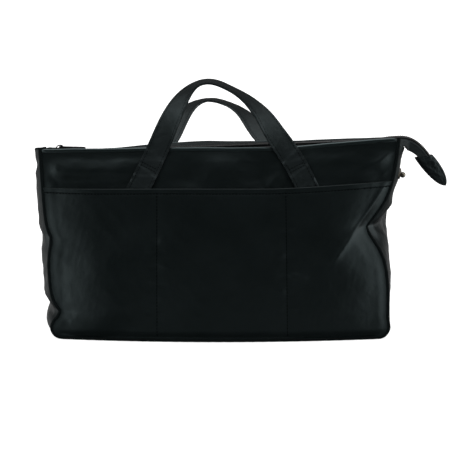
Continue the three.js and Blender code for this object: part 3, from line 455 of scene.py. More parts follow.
def stitches(path, normal, pitch=3.0, length=2.1, radius=0.3):
    """A row of sewn thread on a surface: a short bead for each stitch."""
    run = lengths(path)
    s = np.arange(pitch / 2, run[-1] - pitch / 2, pitch)
    at, up = sampled(s, run, path), sampled(s, run, normal)
    ahead = unit(sampled(s + 0.5, run, path) - at)
    up = unit(up - ahead * (up * ahead).sum(axis=1, keepdims=True))
    angle = circle(6)[:, None]
    beads = []
    for p, a, u, across in zip(at, ahead, up, np.cross(ahead, up)):
        middle = p + u * (radius * BEAD_LIFT - BEAD_SINK)
        ring = (across * np.cos(angle) + u * np.sin(angle) * BEAD_FLAT) * radius
        beads.append(bar_mesh(np.array([middle + a * (t * length) + ring * full for t, full in BEAD])))
    return joined(beads)


# Materials

CLOTH_GLOSS, CLOTH_TINT, SHEEN_ROUGH = 0.24, (0.76, 0.97, 1.0, 1), 0.45
WAVE_PITCH = 2 * math.pi / 20  # pitch of the wave texture at scale 1


def fill(tree, node, values, wires):
    """Sets values on a node's inputs and wires other nodes' outputs to them."""
    for name, value in values.items():
        node.inputs[name].default_value = value
    for name, socket in wires.items():
        tree.links.new(socket, node.inputs[name])


def add(tree, kind, values={}, wires={}):
    node = tree.nodes.new("ShaderNode" + kind)
    fill(tree, node, values, wires)
    return node


def maths(tree, operation, *sockets):
    node = add(tree, "Math", wires=dict(enumerate(sockets)))
    node.operation = operation
    return node.outputs["Value"]


def new_material(name):
    mat = bpy.data.materials.new(name)
    mat.use_nodes = True
    return mat, mat.node_tree, mat.node_tree.nodes["Principled BSDF"]


def uneven_material(name, colours, stops, rough, scale, detail):
    """A material whose colour and roughness follow one noise, with what to build on."""
    mat, tree, shader = new_material(name)
    place = add(tree, "TexCoord").outputs["Object"]
    noise = add(tree, "TexNoise", {"Scale": scale, "Detail": detail}, {"Vector": place}).outputs["Fac"]
    ramp = add(tree, "ValToRGB", wires={"Fac": noise})
    for element, stop, colour in zip(ramp.color_ramp.elements, stops, colours):
        element.position = stop
        element.color = (*colour, 1)
    gloss = add(tree, "MapRange", {"To Min": rough[0], "To Max": rough[1]}, {"Value": noise})
    fill(tree, shader, {}, {"Base Color": ramp.outputs["Color"], "Roughness": gloss.outputs["Result"]})
    return mat, tree, shader, place, noise


def cloth_material(name, dark, light, rough, thread, weave, sheen, gloss=CLOTH_GLOSS, wrinkle=0.25):
    """Woven cloth: uneven colour and gloss, threads at a pitch in metres, and fine wrinkles."""
    mat, tree, shader, place, _ = uneven_material(name, (dark, light), (0.32, 0.7), rough, 26, 5)
    uv = add(tree, "UVMap")
    uv.uv_map = "cloth"
    bands = []
    for direction in ("X", "Y"):
        scale = {"Scale": WAVE_PITCH / thread, "Distortion": 0.0}
        wave = add(tree, "TexWave", scale, {"Vector": uv.outputs["UV"]})
        wave.bands_direction = direction
        bands.append(wave.outputs["Fac"])
    fine = add(tree, "TexNoise", {"Scale": 95, "Detail": 4}, {"Vector": place})
    wrinkles = add(tree, "Bump", {"Strength": wrinkle, "Distance": 0.0012}, {"Height": fine.outputs["Fac"]})
    threads = add(tree, "Bump", {"Strength": weave, "Distance": thread * 0.25},
                  {"Height": maths(tree, "MULTIPLY", *bands), "Normal": wrinkles.outputs["Normal"]})
    surface = {"Specular IOR Level": gloss, "Specular Tint": CLOTH_TINT,
               "Sheen Weight": sheen, "Sheen Roughness": SHEEN_ROUGH}
    fill(tree, shader, surface, {"Normal": threads.outputs["Normal"]})
    return mat


def hard_material(name, dark, light, rough, metallic):
    """Metal or plastic with uneven colour, gloss and a fine cast surface."""
    mat, tree, shader, _, noise = uneven_material(name, (dark, light), (0.3, 0.7), rough, 180, 6)
    cast = add(tree, "Bump", {"Strength": 0.12, "Distance": 0.0002}, {"Height": noise})
    fill(tree, shader, {"Metallic": metallic}, {"Normal": cast.outputs["Normal"]})
    return mat


# Name, dark and light colour, roughness from and to, thread pitch, weave, sheen; gloss, wrinkle
CLOTHS = [
    ("nylon", (0.0005, 0.0012, 0.0012), (0.001, 0.0019, 0.002), (0.34, 0.45), 0.00042, 0.14, 0.01),
    ("strap_nylon", (0.0016, 0.0024, 0.0025), (0.0028, 0.0036, 0.0040), (0.38, 0.5),
     0.00042, 0.3, 0.015, CLOTH_GLOSS, 0.8),
    ("lining", (0.004, 0.005, 0.0055), (0.007, 0.008, 0.009), (0.45, 0.6), 0.0003, 0.2, 0.03),
    ("zip_tape", (0.0016, 0.002, 0.0022), (0.003, 0.0034, 0.0037), (0.5, 0.65),
     0.0009, 0.9, 0.05, CLOTH_GLOSS, 0.6),
    ("thread", (0.0008, 0.0013, 0.0013), (0.0016, 0.0021, 0.0022), (0.7, 0.85), 0.0004, 0.3, 0.0, 0.0),
    ("hem_nylon", (0.0008, 0.0019, 0.0019), (0.0015, 0.0028, 0.003), (0.24, 0.34),
     0.00042, 0.14, 0.01, 0.8),
    ("welt_nylon", (0.0008, 0.0015, 0.0015), (0.0014, 0.0022, 0.0023), (0.55, 0.68),
     0.00042, 0.14, 0.01, 0.05),
]
# Name, dark and light colour, roughness from and to, metal
HARD = [
    ("zip_coil", (0.003, 0.0034, 0.0037), (0.006, 0.0065, 0.007), (0.3, 0.45), 0.0),
    ("zip_metal", (0.003, 0.0032, 0.0035), (0.007, 0.0072, 0.0078), (0.38, 0.52), 0.5),
    ("snap_metal", (0.11, 0.10, 0.082), (0.18, 0.165, 0.135), (0.22, 0.38), 1.0),
    ("board", (0.02, 0.02, 0.019), (0.03, 0.03, 0.028), (0.6, 0.8), 0.0),
]
NYLON, STRAP, SATIN, TAPE, THREAD, HEM, WELT = (cloth_material(*values) for values in CLOTHS)
COIL, METAL, BRASS, BOARD = (hard_material(*values) for values in HARD)


# Panels and pockets

ACROSS = 220  # faces along a wall


def wall_edges(face, h, depth=1.0, tuck=TUCK):
    return [side * (edge_reach(side, face, h, depth) - tuck) for side, _ in SIDES]


def wall_away(face, x, h, relief):
    """How far a cloth stands from the middle plane. The dents of its seams die out further in."""
    left, right = wall_edges(face, h)
    even_left, even_right = wall_edges(face, h, INNER_DENT)
    near = panel_face(2 * (x - left) / (right - left) - 1, h)
    even = panel_face(np.clip(2 * (x - even_left) / (even_right - even_left) - 1, -1, 1), h)
    return lerp(near, even, smooth(from_seams(x, left, right), 0, 20)) + relief(x, h, left, right)


def wall_mesh(face, heights, relief, thick):
    """A front (face -1) or back (face 1) cloth."""
    h = heights[:, None]
    x = lerp(*wall_edges(face, h), np.linspace(0, 1, ACROSS + 1))
    h = np.broadcast_to(h, x.shape)
    away, z = wall_away(face, x, h, relief), lifted(x, h, face > 0)
    return sheet_mesh(xyz(x, face * away, z), xyz(x, face * (away - thick), z))


def panel_relief_for(face):
    front = int(face < 0)
    return lambda x, h, left, right: band_relief(x, h, front) * smooth(from_seams(x, left, right), 0, 15)


def pocket_relief_for(face):
    front = int(face < 0)

    def relief(x, h, left, right):
        inwards = from_seams(x, left, right)
        fold = pocket_relief(x, h, left, right, front) * smooth(inwards, 0, 9)
        if front:
            inwards = inwards + np.where(x > 0, tips(1, h), 0)
            fold = fold + front_folds(x, h, inwards)
        hem = POCKET_TOP - h
        turn = np.clip(1 - hem / HEM_TURN_R, 0, 1)
        groove = HEM_TURN_R * (1 - np.sqrt(1 - turn**2)) + 0.25 * bell(hem, HEM_SEWN, 0.7)
        lip = 0.3 * bell(np.maximum(hem - 3.6, 0), 0, 0.8) + 0.4 * (1 - smooth(hem, 0, 6))
        return pocket_ease(x, h) * lerp(0.55, 1, smooth(inwards, 0, 30)) + fold + lip - groove
    return relief


PANEL_HEIGHTS = spans((WELT_R, 120, 30), (121, PANEL_TOP + COVER, 44))
POCKET_HEIGHTS = np.concatenate([
    spans((WELT_R, 18, 14), (19, 128, 92), (128.6, POCKET_TOP - 1.4, 20)),
    POCKET_TOP - 0.8 * np.cos(np.linspace(0, np.pi / 2, 8)),
])
POCKET_THICK = (POCKET_CLOTH + HEM_FOLD * smooth(POCKET_HEIGHTS, POCKET_TOP - 5.2, POCKET_TOP - 4.2))[:, None]

for face, word in FACES:
    panel = wall_mesh(face, PANEL_HEIGHTS, panel_relief_for(face), CLOTH)
    piece(f"{word}_panel_cloth", panel, NYLON, [f"{word}_panel"])
    pocket = wall_mesh(face, POCKET_HEIGHTS, pocket_relief_for(face), POCKET_THICK)
    piece(f"{word}_pocket_cloth", pocket, NYLON, [f"{word}_pocket"])


def on_wall(face, relief, x, h):
    """Points and outward normals on a wall at given x and height."""
    def at(x, h):
        return xyz(x, face * wall_away(face, x, h, relief), lifted(x, h, face > 0))

    dx, dh = at(x + 0.5, h) - at(x - 0.5, h), at(x, h + 0.5) - at(x, h - 0.5)
    return at(x, h), unit(np.cross(dx, dh) * -face)


def wall_stitches(face):
    """The seam along the pocket's hem and the two dividers."""
    relief = pocket_relief_for(face)
    h = np.full(200, POCKET_TOP - HEM_SEWN)
    x = np.linspace(*wall_edges(face, h[0], tuck=3), 200)
    rows = [stitches(*on_wall(face, relief, x, h))]
    h = np.linspace(5, POCKET_TOP - 1.5, 160)
    for line in divider(h):
        rows.append(stitches(*on_wall(face, relief, line, h), radius=0.32))
    return joined(rows)


for face, word in FACES:
    piece(f"{word}_pocket_stitches", wall_stitches(face), THREAD)


# Gussets

def forward_of(y, h):
    """Share of the way from a gusset's front seam to its back seam."""
    return (y / seam_depth(h) + 1) / 2


def gusset_point(side, h, turn, forward, depth, relief=0.0):
    turned = np.sin(turn)
    corner = seam_reach(h) - CORNER_R * (1 - turned)
    drawn = dent(side, h) * np.clip((h - CORNER_TOP) / CORNER_R, 0, 1)
    bulge = GUSSET_BULGE[side] + GUSSET_FLARE[side] * (h / RIM) ** 18
    roll = lerp(WELT_R, bulge * 4 * forward * (1 - forward), turned**2)
    out = roll + drawn * (1 - BACK_DENT) * forward**0.8 - depth + relief
    x = side * (corner - drawn + turned * out)
    sag = (1 - np.abs(2 * forward - 1) ** 6) * (h / RIM) ** 8
    return x, lifted(x, h, forward) - np.cos(turn) * out - GUSSET_DIP[side] * sag


def gusset_relief(side, y, h):
    """A fold down the middle, waves and the creases round the dents. The left top is drawn in."""
    out = -1.7 * bell(y, 0, 8) * smooth(h, 40, 110) * (1 - 0.5 * smooth(h, 150, 170))
    out += 0.5 * ripple(h / 9 + y / 13, 1.1 + side) * smooth(h, 14, 40) + 0.4 * crumple(y, h, 22, 31 + side)
    if side < 0:
        out -= 2.6 * smooth(h, 110, 160) * np.clip(1 - (y / seam_depth(h)) ** 2, 0, 1)
    out += folds(y, h, (), GUSSET_CREASES[side], GUSSET_BUMPS[side])
    return out * smooth(h, 8, 24)


def gusset_cloth(side, h, turn, count, inset, depth):
    """Points across a gusset's cloth at a depth under its face."""
    s = np.linspace(-1, 1, count)
    y = (seam_depth(h) - inset) * s
    fold = gusset_relief(side, y, np.broadcast_to(h, y.shape)) * smooth(1 - np.abs(s), 0, 0.2)
    x, z = gusset_point(side, h, turn, forward_of(y, h), depth, fold)
    return xyz(x, y, z)


def gusset_mesh(side, top, inset, depth, thick):
    """A gusset's cloth in rows, round the lower corner first and then up the side."""
    corner = np.linspace(0, np.pi / 2, 8, endpoint=False)
    h = np.concatenate([WELT_R + CORNER_R * (1 - np.cos(corner)), np.linspace(CORNER_TOP, top, 84)])[:, None]
    turn = np.concatenate([corner, np.full(84, np.pi / 2)])[:, None]
    return sheet_mesh(*(gusset_cloth(side, h, turn, 57, inset, d) for d in (depth, depth + thick)))


for side, word in SIDES:
    gusset = gusset_mesh(side, PANEL_TOP + COVER, TUCK, 0.0, CLOTH)
    piece(f"{word}_gusset_cloth", gusset, NYLON, [f"{word}_gusset"])


# Lining and base

BASE_FLAT = seam_reach(WELT_R) - CORNER_R
LINING_TOP, LINING_GAP, LINING_INSET = PANEL_TOP - 0.3, 0.8, 1.6
LINING_FLOOR, LINING_FLOOR_THICK = 4.3, 0.4


def lining_mesh():
    meshes = []
    heights = spans((5.5, 150, 40), (152, LINING_TOP, 10))
    for face, _ in FACES:
        def relief(x, h, left, right):
            waves = 0.35 * ripple(x / 15 + h / 37, 2.0 + face)
            waves *= smooth(h, 12, 40) * (1 - smooth(h, 150, 168))
            return band_relief(x, h, int(face < 0)) * 0.9 - CLOTH - LINING_GAP + waves
        meshes.append(wall_mesh(face, heights, relief, LINING))
    for side, _ in SIDES:
        meshes.append(gusset_mesh(side, LINING_TOP, LINING_INSET, CLOTH + LINING_GAP + 0.1, LINING))
    x = np.linspace(-1, 1, 60)[:, None] * (BASE_FLAT - 0.5)
    y = (panel_face(x / BASE_FLAT, WELT_R) - 3.2) * np.linspace(-1, 1, 30)
    z = LINING_FLOOR + 0.25 * ripple(x / 17 + y / 11, 4.0)
    return joined([*meshes, slab_mesh(x, y, z, -LINING_FLOOR_THICK)])


piece("lining_cloth", lining_mesh(), SATIN,
      [f"lining_{part}" for part in ("front", "back", "left", "right", "base")])


def base_mesh():
    x = np.linspace(-1, 1, 90)[:, None] * (BASE_FLAT + 0.6)
    s = np.linspace(-1, 1, 41)
    y = (panel_face(np.clip(x / BASE_FLAT, -1, 1), WELT_R) - 0.7) * s
    edge = smooth(1 - np.abs(s), 0, 0.12)
    z = 0.9 * (1 - edge) + 0.12 * (1 + ripple(x / 21 + y / 9, 0.4)) * edge
    return slab_mesh(x, y, z, CLOTH)


piece("base_cloth", base_mesh(), NYLON, ["base_panel"])


# Welts and hems

def welt_path(face):
    corner = WELT_R + CORNER_R * (1 - np.cos(np.linspace(np.pi / 2, 0, 9)[1:]))
    h = np.concatenate([spans((RIM - 0.2, 30, 110), (29, CORNER_TOP, 18)), corner])
    left, right = wall_edges(face, h, tuck=0)
    middle = np.linspace(-1, 1, 122)[1:-1]
    low = xyz(lerp(left[-1], right[-1], (middle + 1) / 2), WELT_R, middle)
    x, h, across = np.concatenate([xyz(left, h, -1), low, xyz(right, h, 1)[::-1]]).T
    return xyz(x, face * panel_face(across, h), lifted(x, h, face > 0))


for face, word in FACES:
    path = welt_path(face)
    puffs = WELT_R * (1 + 0.05 * ripple(lengths(path) / 1.6, 0.5 * face))
    piece(f"{word}_welt_cord", tube_mesh(path, puffs, 12), WELT, [f"{word}_welt"])


def rim_slope(across):
    return (panel_face(across, PANEL_TOP - HEM_HEIGHT) - panel_face(across, PANEL_TOP)) / HEM_HEIGHT


HEM_OUTLINE = np.array(
    [(-HEM_THICK * 0.36, -0.4), (HEM_THICK * 0.36, -0.4)]
    + [(math.cos(a) * HEM_THICK / 2, HEM_HEIGHT - 1 + math.sin(a)) for a in np.linspace(0, np.pi, 9)]
)


def panel_hem(face):
    s = np.concatenate([[-1, -0.998, -0.994], np.linspace(-0.99, 0.99, 161), [0.994, 0.998, 1]])
    x = lerp(*wall_edges(face, PANEL_TOP, tuck=1), (s + 1) / 2)
    away = panel_face(s, PANEL_TOP) - CLOTH / 2 + 0.25 * ripple(x / 11, 1.9 * face)
    z = lifted(x, PANEL_TOP + CLEAR, face > 0) + 0.2 * ripple(x / 9, 0.6 * face)
    full = np.sqrt(np.clip((1 - np.abs(s)) / 0.02, 0.06, 1))[:, None]
    a, b = HEM_OUTLINE.T[:, None]
    a, b = a * full, (b - HEM_HEIGHT / 2) * full + HEM_HEIGHT / 2
    y = face * (away[:, None] + a - rim_slope(s)[:, None] * b)
    return bar_mesh(xyz(x[:, None], y, z[:, None] + b))


def gusset_hem(side):
    x, y, z = gusset_cloth(side, PANEL_TOP, np.pi / 2, 61, 0.8, CLOTH / 2).T[..., None]
    a, b = HEM_OUTLINE.T[:, None]
    return bar_mesh(xyz(x + side * a, y, z + CLEAR + b))


for face, word in FACES:
    piece(f"{word}_rim_hem_fold", panel_hem(face), HEM, [f"{word}_rim_hem"])
for side, word in SIDES:
    piece(f"{word}_rim_hem_fold", gusset_hem(side), NYLON, [f"{word}_rim_hem"])


# Straps: one mesh from a sewn end, over the loop, to the other sewn end

TACK_ACROSS = (TACK_X[1] - TACK_X[-1]) / 2 / seam_reach(TACK)
TACK_FACE = panel_face(TACK_ACROSS, TACK)
PANEL_LEAN = math.atan2(TACK_FACE - panel_face(TACK_ACROSS, RIM), RIM - TACK)
STRAP_MID = TACK_FACE + STRAP_GAP + STRAP_THICK / 2
HINGE_OUT = STRAP_THICK / 2
HINGE_Y = STRAP_MID + HINGE_OUT * math.cos(PANEL_LEAN)
SPLAY_RUN = math.tan(STRAP_SPLAY)
EDGE_SEAM, TACK_SEAMS = 0.76, (0.9, 3.4)  # share of the half width, and heights above the tack line
# Creases over the sewn feet: height from the tack line, lean across the strap, how far they stand out
FOOT_CREASES = [(-14, -0.2, 0.8), (-7, 0.3, 1.1), (-2.5, -0.15, 0.9), (7, 0.25, 0.9), (11.5, -0.2, 0.7)]


def loop_centre(t):
    points = [np.array(p, float) for p in [(TACK_X[-1], 0), *LOOP_GUIDES, (TACK_X[1], 0)]]
    t = t[:, None]
    while len(points) > 1:
        points = [lerp(a, b, t) for a, b in zip(points[:-1], points[1:])]
    return points[0]


def stray(face, x, up):
    """The back loop's legs sag together above the rim, and the front's right leg bellies out."""
    if face > 0:
        drawn = np.where(x > 0, -BACK_DRAWN[1], BACK_DRAWN[-1])
        return drawn * smooth(up, 2, 24) * (1 - smooth(up, 28, 76))
    return FRONT_BELLY * smooth(x, 0, 25) * smooth(up, 28, 56) * (1 - smooth(up, 72, 86))


def strap_line(face):
    """Centre line in the strap's own plane (along the bag, up from the tacks) and its twist."""
    t = np.linspace(0, 1, 150)
    loop = loop_centre(t)
    loop[:, 0] += stray(face, loop[:, 0], loop[:, 1])
    twist = LOOP_TWIST[face] * smooth(np.minimum(t, 1 - t), LOOP_FLAT, LOOP_TURNED)
    down = np.linspace(STRAP_TAIL, 0.8, 20)
    end, other = (np.stack([TACK_X[side] + side * down * SPLAY_RUN, -down], 1) for side, _ in SIDES)
    flat = np.zeros(len(end))
    return np.concatenate([end, loop, other[::-1]]), np.concatenate([flat, twist, flat])


def strap_place(face, x, up, out, tilt):
    """Points of the strap, which follows the panel below the tacks and has its own plane above."""
    cos, sin = math.cos(PANEL_LEAN), math.sin(PANEL_LEAN)
    along = np.where(up < 0, up / cos, up)
    y = STRAP_MID - along * sin + out * cos
    z = TACK + along * cos + out * sin
    below = np.clip(-up, 0, None)
    cloth = TACK - below + back_sag(x) * (face > 0) * ((TACK - below) / RIM) ** 2
    flush = panel_face(x / seam_reach(cloth), cloth) + STRAP_GAP + STRAP_THICK / 2
    flush = lerp(flush, STRAP_MID + below * sin / cos, 1 - smooth(below, 0, 8))
    y = np.where(up < 0, flush + out * cos, y)
    if tilt:
        hinge_z = TACK + HINGE_OUT * sin
        angle = (PANEL_LEAN + tilt) * smooth(up, -1.0, 5.0)
        dy, dz = y - HINGE_Y, z - hinge_z
        y = HINGE_Y + dy * np.cos(angle) + dz * np.sin(angle)
        z = hinge_z - dy * np.sin(angle) + dz * np.cos(angle)
    return xyz(x, face * y, z)


def strap_section():
    """Folded strap, 22 points round: flat faces, soft edges and a shallow line at each seam."""
    w = np.array([-1, -0.985, -0.82, -0.74, -0.4, 0, 0.4, 0.74, 0.82, 0.985, 1]) * STRAP_WIDTH / 2
    t = np.array([0.8, 1.0, 1.0, 0.9, 0.98, 1.0, 0.98, 0.9, 1.0, 1.0, 0.8]) * STRAP_THICK / 2
    return np.concatenate([np.stack([w, t], 1), np.stack([w[::-1], -t[::-1]], 1)])


def strap_points(face, tilt, offsets):
    """Points at (width, thickness) offsets along the whole strap, shape (stations, offsets, 3)."""
    line, twist = strap_line(face)
    ahead = unit(np.gradient(line, axis=0))
    w, t = offsets.T[:, None]
    flat = twist[:, None]
    reach = w * np.cos(flat) - t * np.sin(flat)
    out = w * np.sin(flat) + t * np.cos(flat)
    run, height = lengths(line)[:, None], line[:, 1:]
    creased = 0.22 * ripple(run / 6.5 + w / 17, 2.2 + face) + 0.16 * crumple(run, w, 13, 41 + face)
    for at, lean, high in FOOT_CREASES:
        creased = creased + high * bell(height, at + lean * w, 1.3)
    out = out + creased * lerp(0.6, 1, smooth(height, 2, 20))
    return strap_place(face, line[:, :1] + ahead[:, 1:] * reach, height - ahead[:, :1] * reach, out, tilt)


def strap_stitches(face, tilt):
    """A seam along each edge, on both faces, and two across each foot."""
    rows = []
    half, thick = STRAP_WIDTH / 2, STRAP_THICK / 2
    for w in (-EDGE_SEAM * half, EDGE_SEAM * half):
        for t in (1, -1):
            offsets = np.array([[w, t * 0.84 * thick], [w, t * 3.0]])
            low, high = strap_points(face, tilt, offsets).swapaxes(0, 1)
            rows.append(stitches(low, high - low, pitch=2.8, length=2.0, radius=0.26))
    w = np.linspace(-0.86, 0.86, 12) * half
    for side, _ in SIDES:
        for up in TACK_SEAMS:
            x = TACK_X[side] - side * up * SPLAY_RUN * 0.9 + w * math.cos(STRAP_SPLAY)
            rise = up + side * w * math.sin(STRAP_SPLAY)
            low, high = (strap_place(face, x, rise, np.full_like(w, out), tilt) for out in (thick, 4.0))
            rows.append(stitches(low, high - low, pitch=2.6, length=1.9, radius=0.28))
    return joined(rows)


for (face, word), tilt in zip(FACES, (0.0, BACK_TILT)):
    solids = [f"{word}_handle_{part}" for part in ("loop", "end_left", "end_right")]
    strap = bar_mesh(strap_points(face, tilt, strap_section()))
    strap = piece(f"{word}_strap", strap, STRAP, solids, body=None)
    sewn = piece(f"{word}_strap_stitches", strap_stitches(face, tilt), THREAD, body=None)
    for obj in (strap, sewn):
        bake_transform(obj)


# Zip over the mouth, in short runs cut at stops along the slider's travel

SLIDER_BACK = SLIDER_X + SLIDER_TRAVEL - SLIDER_HALF - 0.2  # the slider's trailing end when the zip is open
RUNS = 13
COIL_PITCH, WIRE_R = 1.6, 0.4
CORD_R, CORD_LOW, CORD_OUT = 1.15, 0.25, 0.3  # the cord lies a little below and outside the coil's middle
COIL_MID, COIL_SEAT = COIL_SLIT + COIL_R, TAPE_THICK + COIL_R  # the wound coil lies on its tape
WIRE_SIDE = (0.37, 0.0, 0.93)  # a direction that the wound wire never runs along


def zip_line(x):
    return ZIP_Z + ZIP_FALL * (x - ZIP_JOIN) / (ZIP_JOIN - ZIP_LEFT)


def sewn_tape(face, x, w, near, line):
    """Width and height of a tape between the coil (w = 0) and the rim it is sewn to (w = 1)."""
    across = x / seam_reach(RIM)
    far = panel_face(across, PANEL_TOP) - CLOTH / 2 - HEM_THICK / 2 - rim_slope(across) * HEM_HEIGHT + 0.1
    rim_z = lifted(x, PANEL_TOP + CLEAR, face > 0) + HEM_HEIGHT / 2
    sag = (0.12 * ripple(x / 8, face) - 0.5) * np.sin(np.pi * w)
    return face * lerp(near, far, w), lerp(line, rim_z, smooth(w, 0.35, 1)) + sag


def tape_run(face, x0, x1):
    x = np.linspace(x0, x1, max(3, int((x1 - x0) / 2) + 2))[:, None]
    w = np.linspace(0, 1, 17)
    near = np.where(x < POST_END, 1.5, COIL_SLIT)
    return slab_mesh(x, *sewn_tape(face, x, w, near, zip_line(x)), TAPE_THICK)


def chain(path, up, face):
    """A coil of wire wound beside a path, its toes at the slit, and the cord sewn through it."""
    run = lengths(path)
    turns = int(run[-1] / COIL_PITCH)
    s = np.linspace(0, turns * COIL_PITCH, turns * 10 + 1)
    angle = s / COIL_PITCH * 2 * np.pi + (0.0 if face < 0 else np.pi)
    wide, high = COIL_R - WIRE_R * 0.55, COIL_R - WIRE_R
    wire = sampled(s, run, path) + sampled(s, run, up) * (COIL_SEAT + high * np.sin(angle))[:, None]
    wire[:, 1] += face * (COIL_MID + wide * np.cos(angle))
    cord = path + up * (COIL_SEAT - CORD_LOW) + [0, face * (COIL_MID + CORD_OUT), 0]
    return joined([tube_mesh(wire, WIRE_R, 5, WIRE_SIDE), tube_mesh(cord, CORD_R, 8)])


def chain_run(face, x0, x1):
    x = np.linspace(x0, x1, 24)
    return chain(xyz(x, 0, zip_line(x)), np.tile([0.0, 0.0, 1.0], (24, 1)), face)


stops = [*np.linspace(ZIP_LEFT, SLIDER_BACK, RUNS), POST_END + SLIDER_TRAVEL, ZIP_JOIN]
for face, word in FACES:
    for k in range(RUNS + 1):
        x0, x1 = stops[k], stops[k + 1]
        coil = chain_run(face, max(x0, POST_END), x1 - (1.3 if k == RUNS - 1 else 0))
        pair = (("tape", tape_run(face, x0, x1), TAPE, 50), ("coil", coil, COIL, 80))
        for kind, mesh, material, crease in pair:
            solid = [f"zip_{kind}_{word}"] if k == 0 else []
            obj = piece(f"{word}_{kind}_run_{k}", mesh, material, solid, crease=crease)
            if k < RUNS:
                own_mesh(obj)


# Zip end and tail: one run that bends where it leaves the bag

# Guides of the corner's and the tail's curve, from shares of their reach and of their height
CORNER_RUN = [(lerp(ZIP_JOIN, ZIP_CORNER, t), 0, lerp(ZIP_Z, ZIP_CORNER_Z, up))
              for t, up in ((0, 0), (0.45, 0), (0.6, 1), (1, 1))]
TAIL_RUN = [(ZIP_CORNER + TAIL_REACH * t, 0, ZIP_CORNER_Z - TAIL_DROP * down)
            for t, down in ((0, 0), (0.4, 0), (0.75, 0.45), (1, 1))]
SEWN_END = 16.0  # the end run's tape leaves the rims over this length before the corner


def tail_path():
    """The run's line, the direction up from it, how its edges droop, and its half width."""
    t = np.linspace(0, 1, 50)
    path = np.concatenate([bezier(CORNER_RUN, t), bezier(TAIL_RUN, t)[1:]])
    droop = np.concatenate([lerp(0, DROOP_START, smooth(t, 0.45, 1)),
                            lerp(DROOP_START, DROOP_END, smooth(t[1:], 0.1, 0.32))])
    half = np.concatenate([np.full(50, TAPE_HALF), lerp(TAPE_HALF, TAPE_HALF_END, t[1:])])
    return path, np.cross(unit(np.gradient(path, axis=0)), [0, 1, 0]), np.radians(droop), half


def tail_tape():
    path, up, droop, half = tail_path()
    d = np.linspace(-1, 1, 41) * half[:, None]
    hang = np.clip(np.abs(d) - TAPE_SHOULDER, 0, None)
    bend = droop[:, None] * smooth(np.abs(d), TAPE_SHOULDER * 0.8, TAPE_SHOULDER * 1.5)

    def beside(aside, above):
        return xyz(0, np.sign(d) * aside, 0) + up[:, None] * above[..., None]

    flat = np.minimum(np.abs(d), TAPE_SHOULDER) + hang * np.cos(bend)
    low = path[:, None] + beside(flat, -hang * np.sin(bend))
    x = path[:, :1]
    rows = [sewn_tape(face, x, np.linspace(0, 1, 21), 0.0, path[:, 2:]) for face, _ in FACES]
    y, z = (np.concatenate([front[:, :0:-1], back], axis=1) for front, back in zip(*rows))
    low = lerp(xyz(x, y, z), low, smooth(x, ZIP_CORNER - SEWN_END, ZIP_CORNER - 2)[..., None])
    return sheet_mesh(low, low + beside(np.sin(bend), np.cos(bend)) * TAPE_THICK)


end_tape = piece("zip_end_run_tape", tail_tape(), TAPE, ["zip_end_tape", "zip_tail_tape"], None)
end_coil = joined([chain(*tail_path()[:2], face) for face, _ in FACES])
end_coil = piece("zip_end_run_coil", end_coil, COIL, ["zip_end_coil", "zip_tail_coil"], None, 80)
for obj in (end_tape, end_coil):
    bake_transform(obj)


TAB_GRIP, TAB_MOUTH = 3.0, 5.0  # how far the tab wraps the tape's end, and half its opening there
TAB_LEAF = [(0, 1), (0.4, 1.15), (0.9, 0.9), (1, 0)]  # guides of its half width along its length
TAB_SEAM = 0.72  # share of the half width where it is sewn
TAB_CREASES = [((7, -4), (21, 3), 0.55, 1.2, 1.8, 0.4), ((9, 4), (17, -3), 0.45, 1.4, 1.2, 0.4)]


def tab_points(s, w, thick):
    """Points of the end tab, a leaf with a blunt start, at shares of its length and half width."""
    cos, sin = math.cos(TAB_SLOPE), math.sin(TAB_SLOPE)
    along, across = np.array([(cos, 0, -sin), (sin, 0, cos)])
    middle = np.array(TAIL_RUN[-1]) + along * 3 * CLEAR + across * (TAPE_SHOULDER - TAB_DROP)
    leaf = bezier(TAB_LEAF, np.linspace(0, 1, 80))
    half = np.interp(s, leaf[:, 0], leaf[:, 1]) * TAB_WIDTH / 2
    start = -TAB_GRIP - TAB_SKEW * (1 - w) / 2
    p = middle + along * lerp(start, TAB_LENGTH, s)[..., None] + across * (w * half)[..., None]
    return p + xyz(0, thick, 0)


def tab_pad(s, w):
    """Half thickness of the tab: padded, sewn down near its edges, open round the tape's end."""
    pad = TAB_THICK / 2 * (0.45 + 0.55 * np.sqrt(np.clip(1 - np.abs(w) ** 3, 0, 1)))
    pad = pad * (1 - 0.35 * smooth(s, 0.7, 1)) - 0.25 * bell(np.abs(w), TAB_SEAM, 0.07) * (s < 0.9)
    along, aside = s * TAB_LENGTH, w * TAB_WIDTH / 2
    creases = 0.45 * crumple(along, aside, 7, 51) + folds(along, aside, (), TAB_CREASES)
    opening = (TAB_MOUTH - TAB_THICK / 2) * (1 - smooth(s, 0.12, 0.5)) * np.sqrt(np.clip(1 - w**4, 0, 1))
    return pad + creases * (1 - np.abs(w) ** 6) + opening


def tab_mesh():
    s, w = np.meshgrid(np.linspace(0, 0.995, 40), np.linspace(-1, 1, 25), indexing="ij")
    pad = tab_pad(s, w)
    return sheet_mesh(tab_points(s, w, -pad), tab_points(s, w, pad))


def tab_stitches():
    rows = []
    s = np.linspace(0.06, 0.86, 40)
    for face, _ in FACES:
        for at, seam in ((s, TAB_SEAM), (s[::-1], -TAB_SEAM)):
            w = np.full(40, seam)
            near, far = (tab_points(at, w, face * (tab_pad(at, w) + up)) for up in (0, 2))
            rows.append(stitches(near, far - near, pitch=2.2, length=1.6, radius=0.24))
    return joined(rows)


piece("zip_tab_leaf", tab_mesh(), STRAP, ["zip_end_tab"], body="tail")
piece("zip_tab_stitches", tab_stitches(), THREAD, body="tail")


# Snap, turned finer than the solids

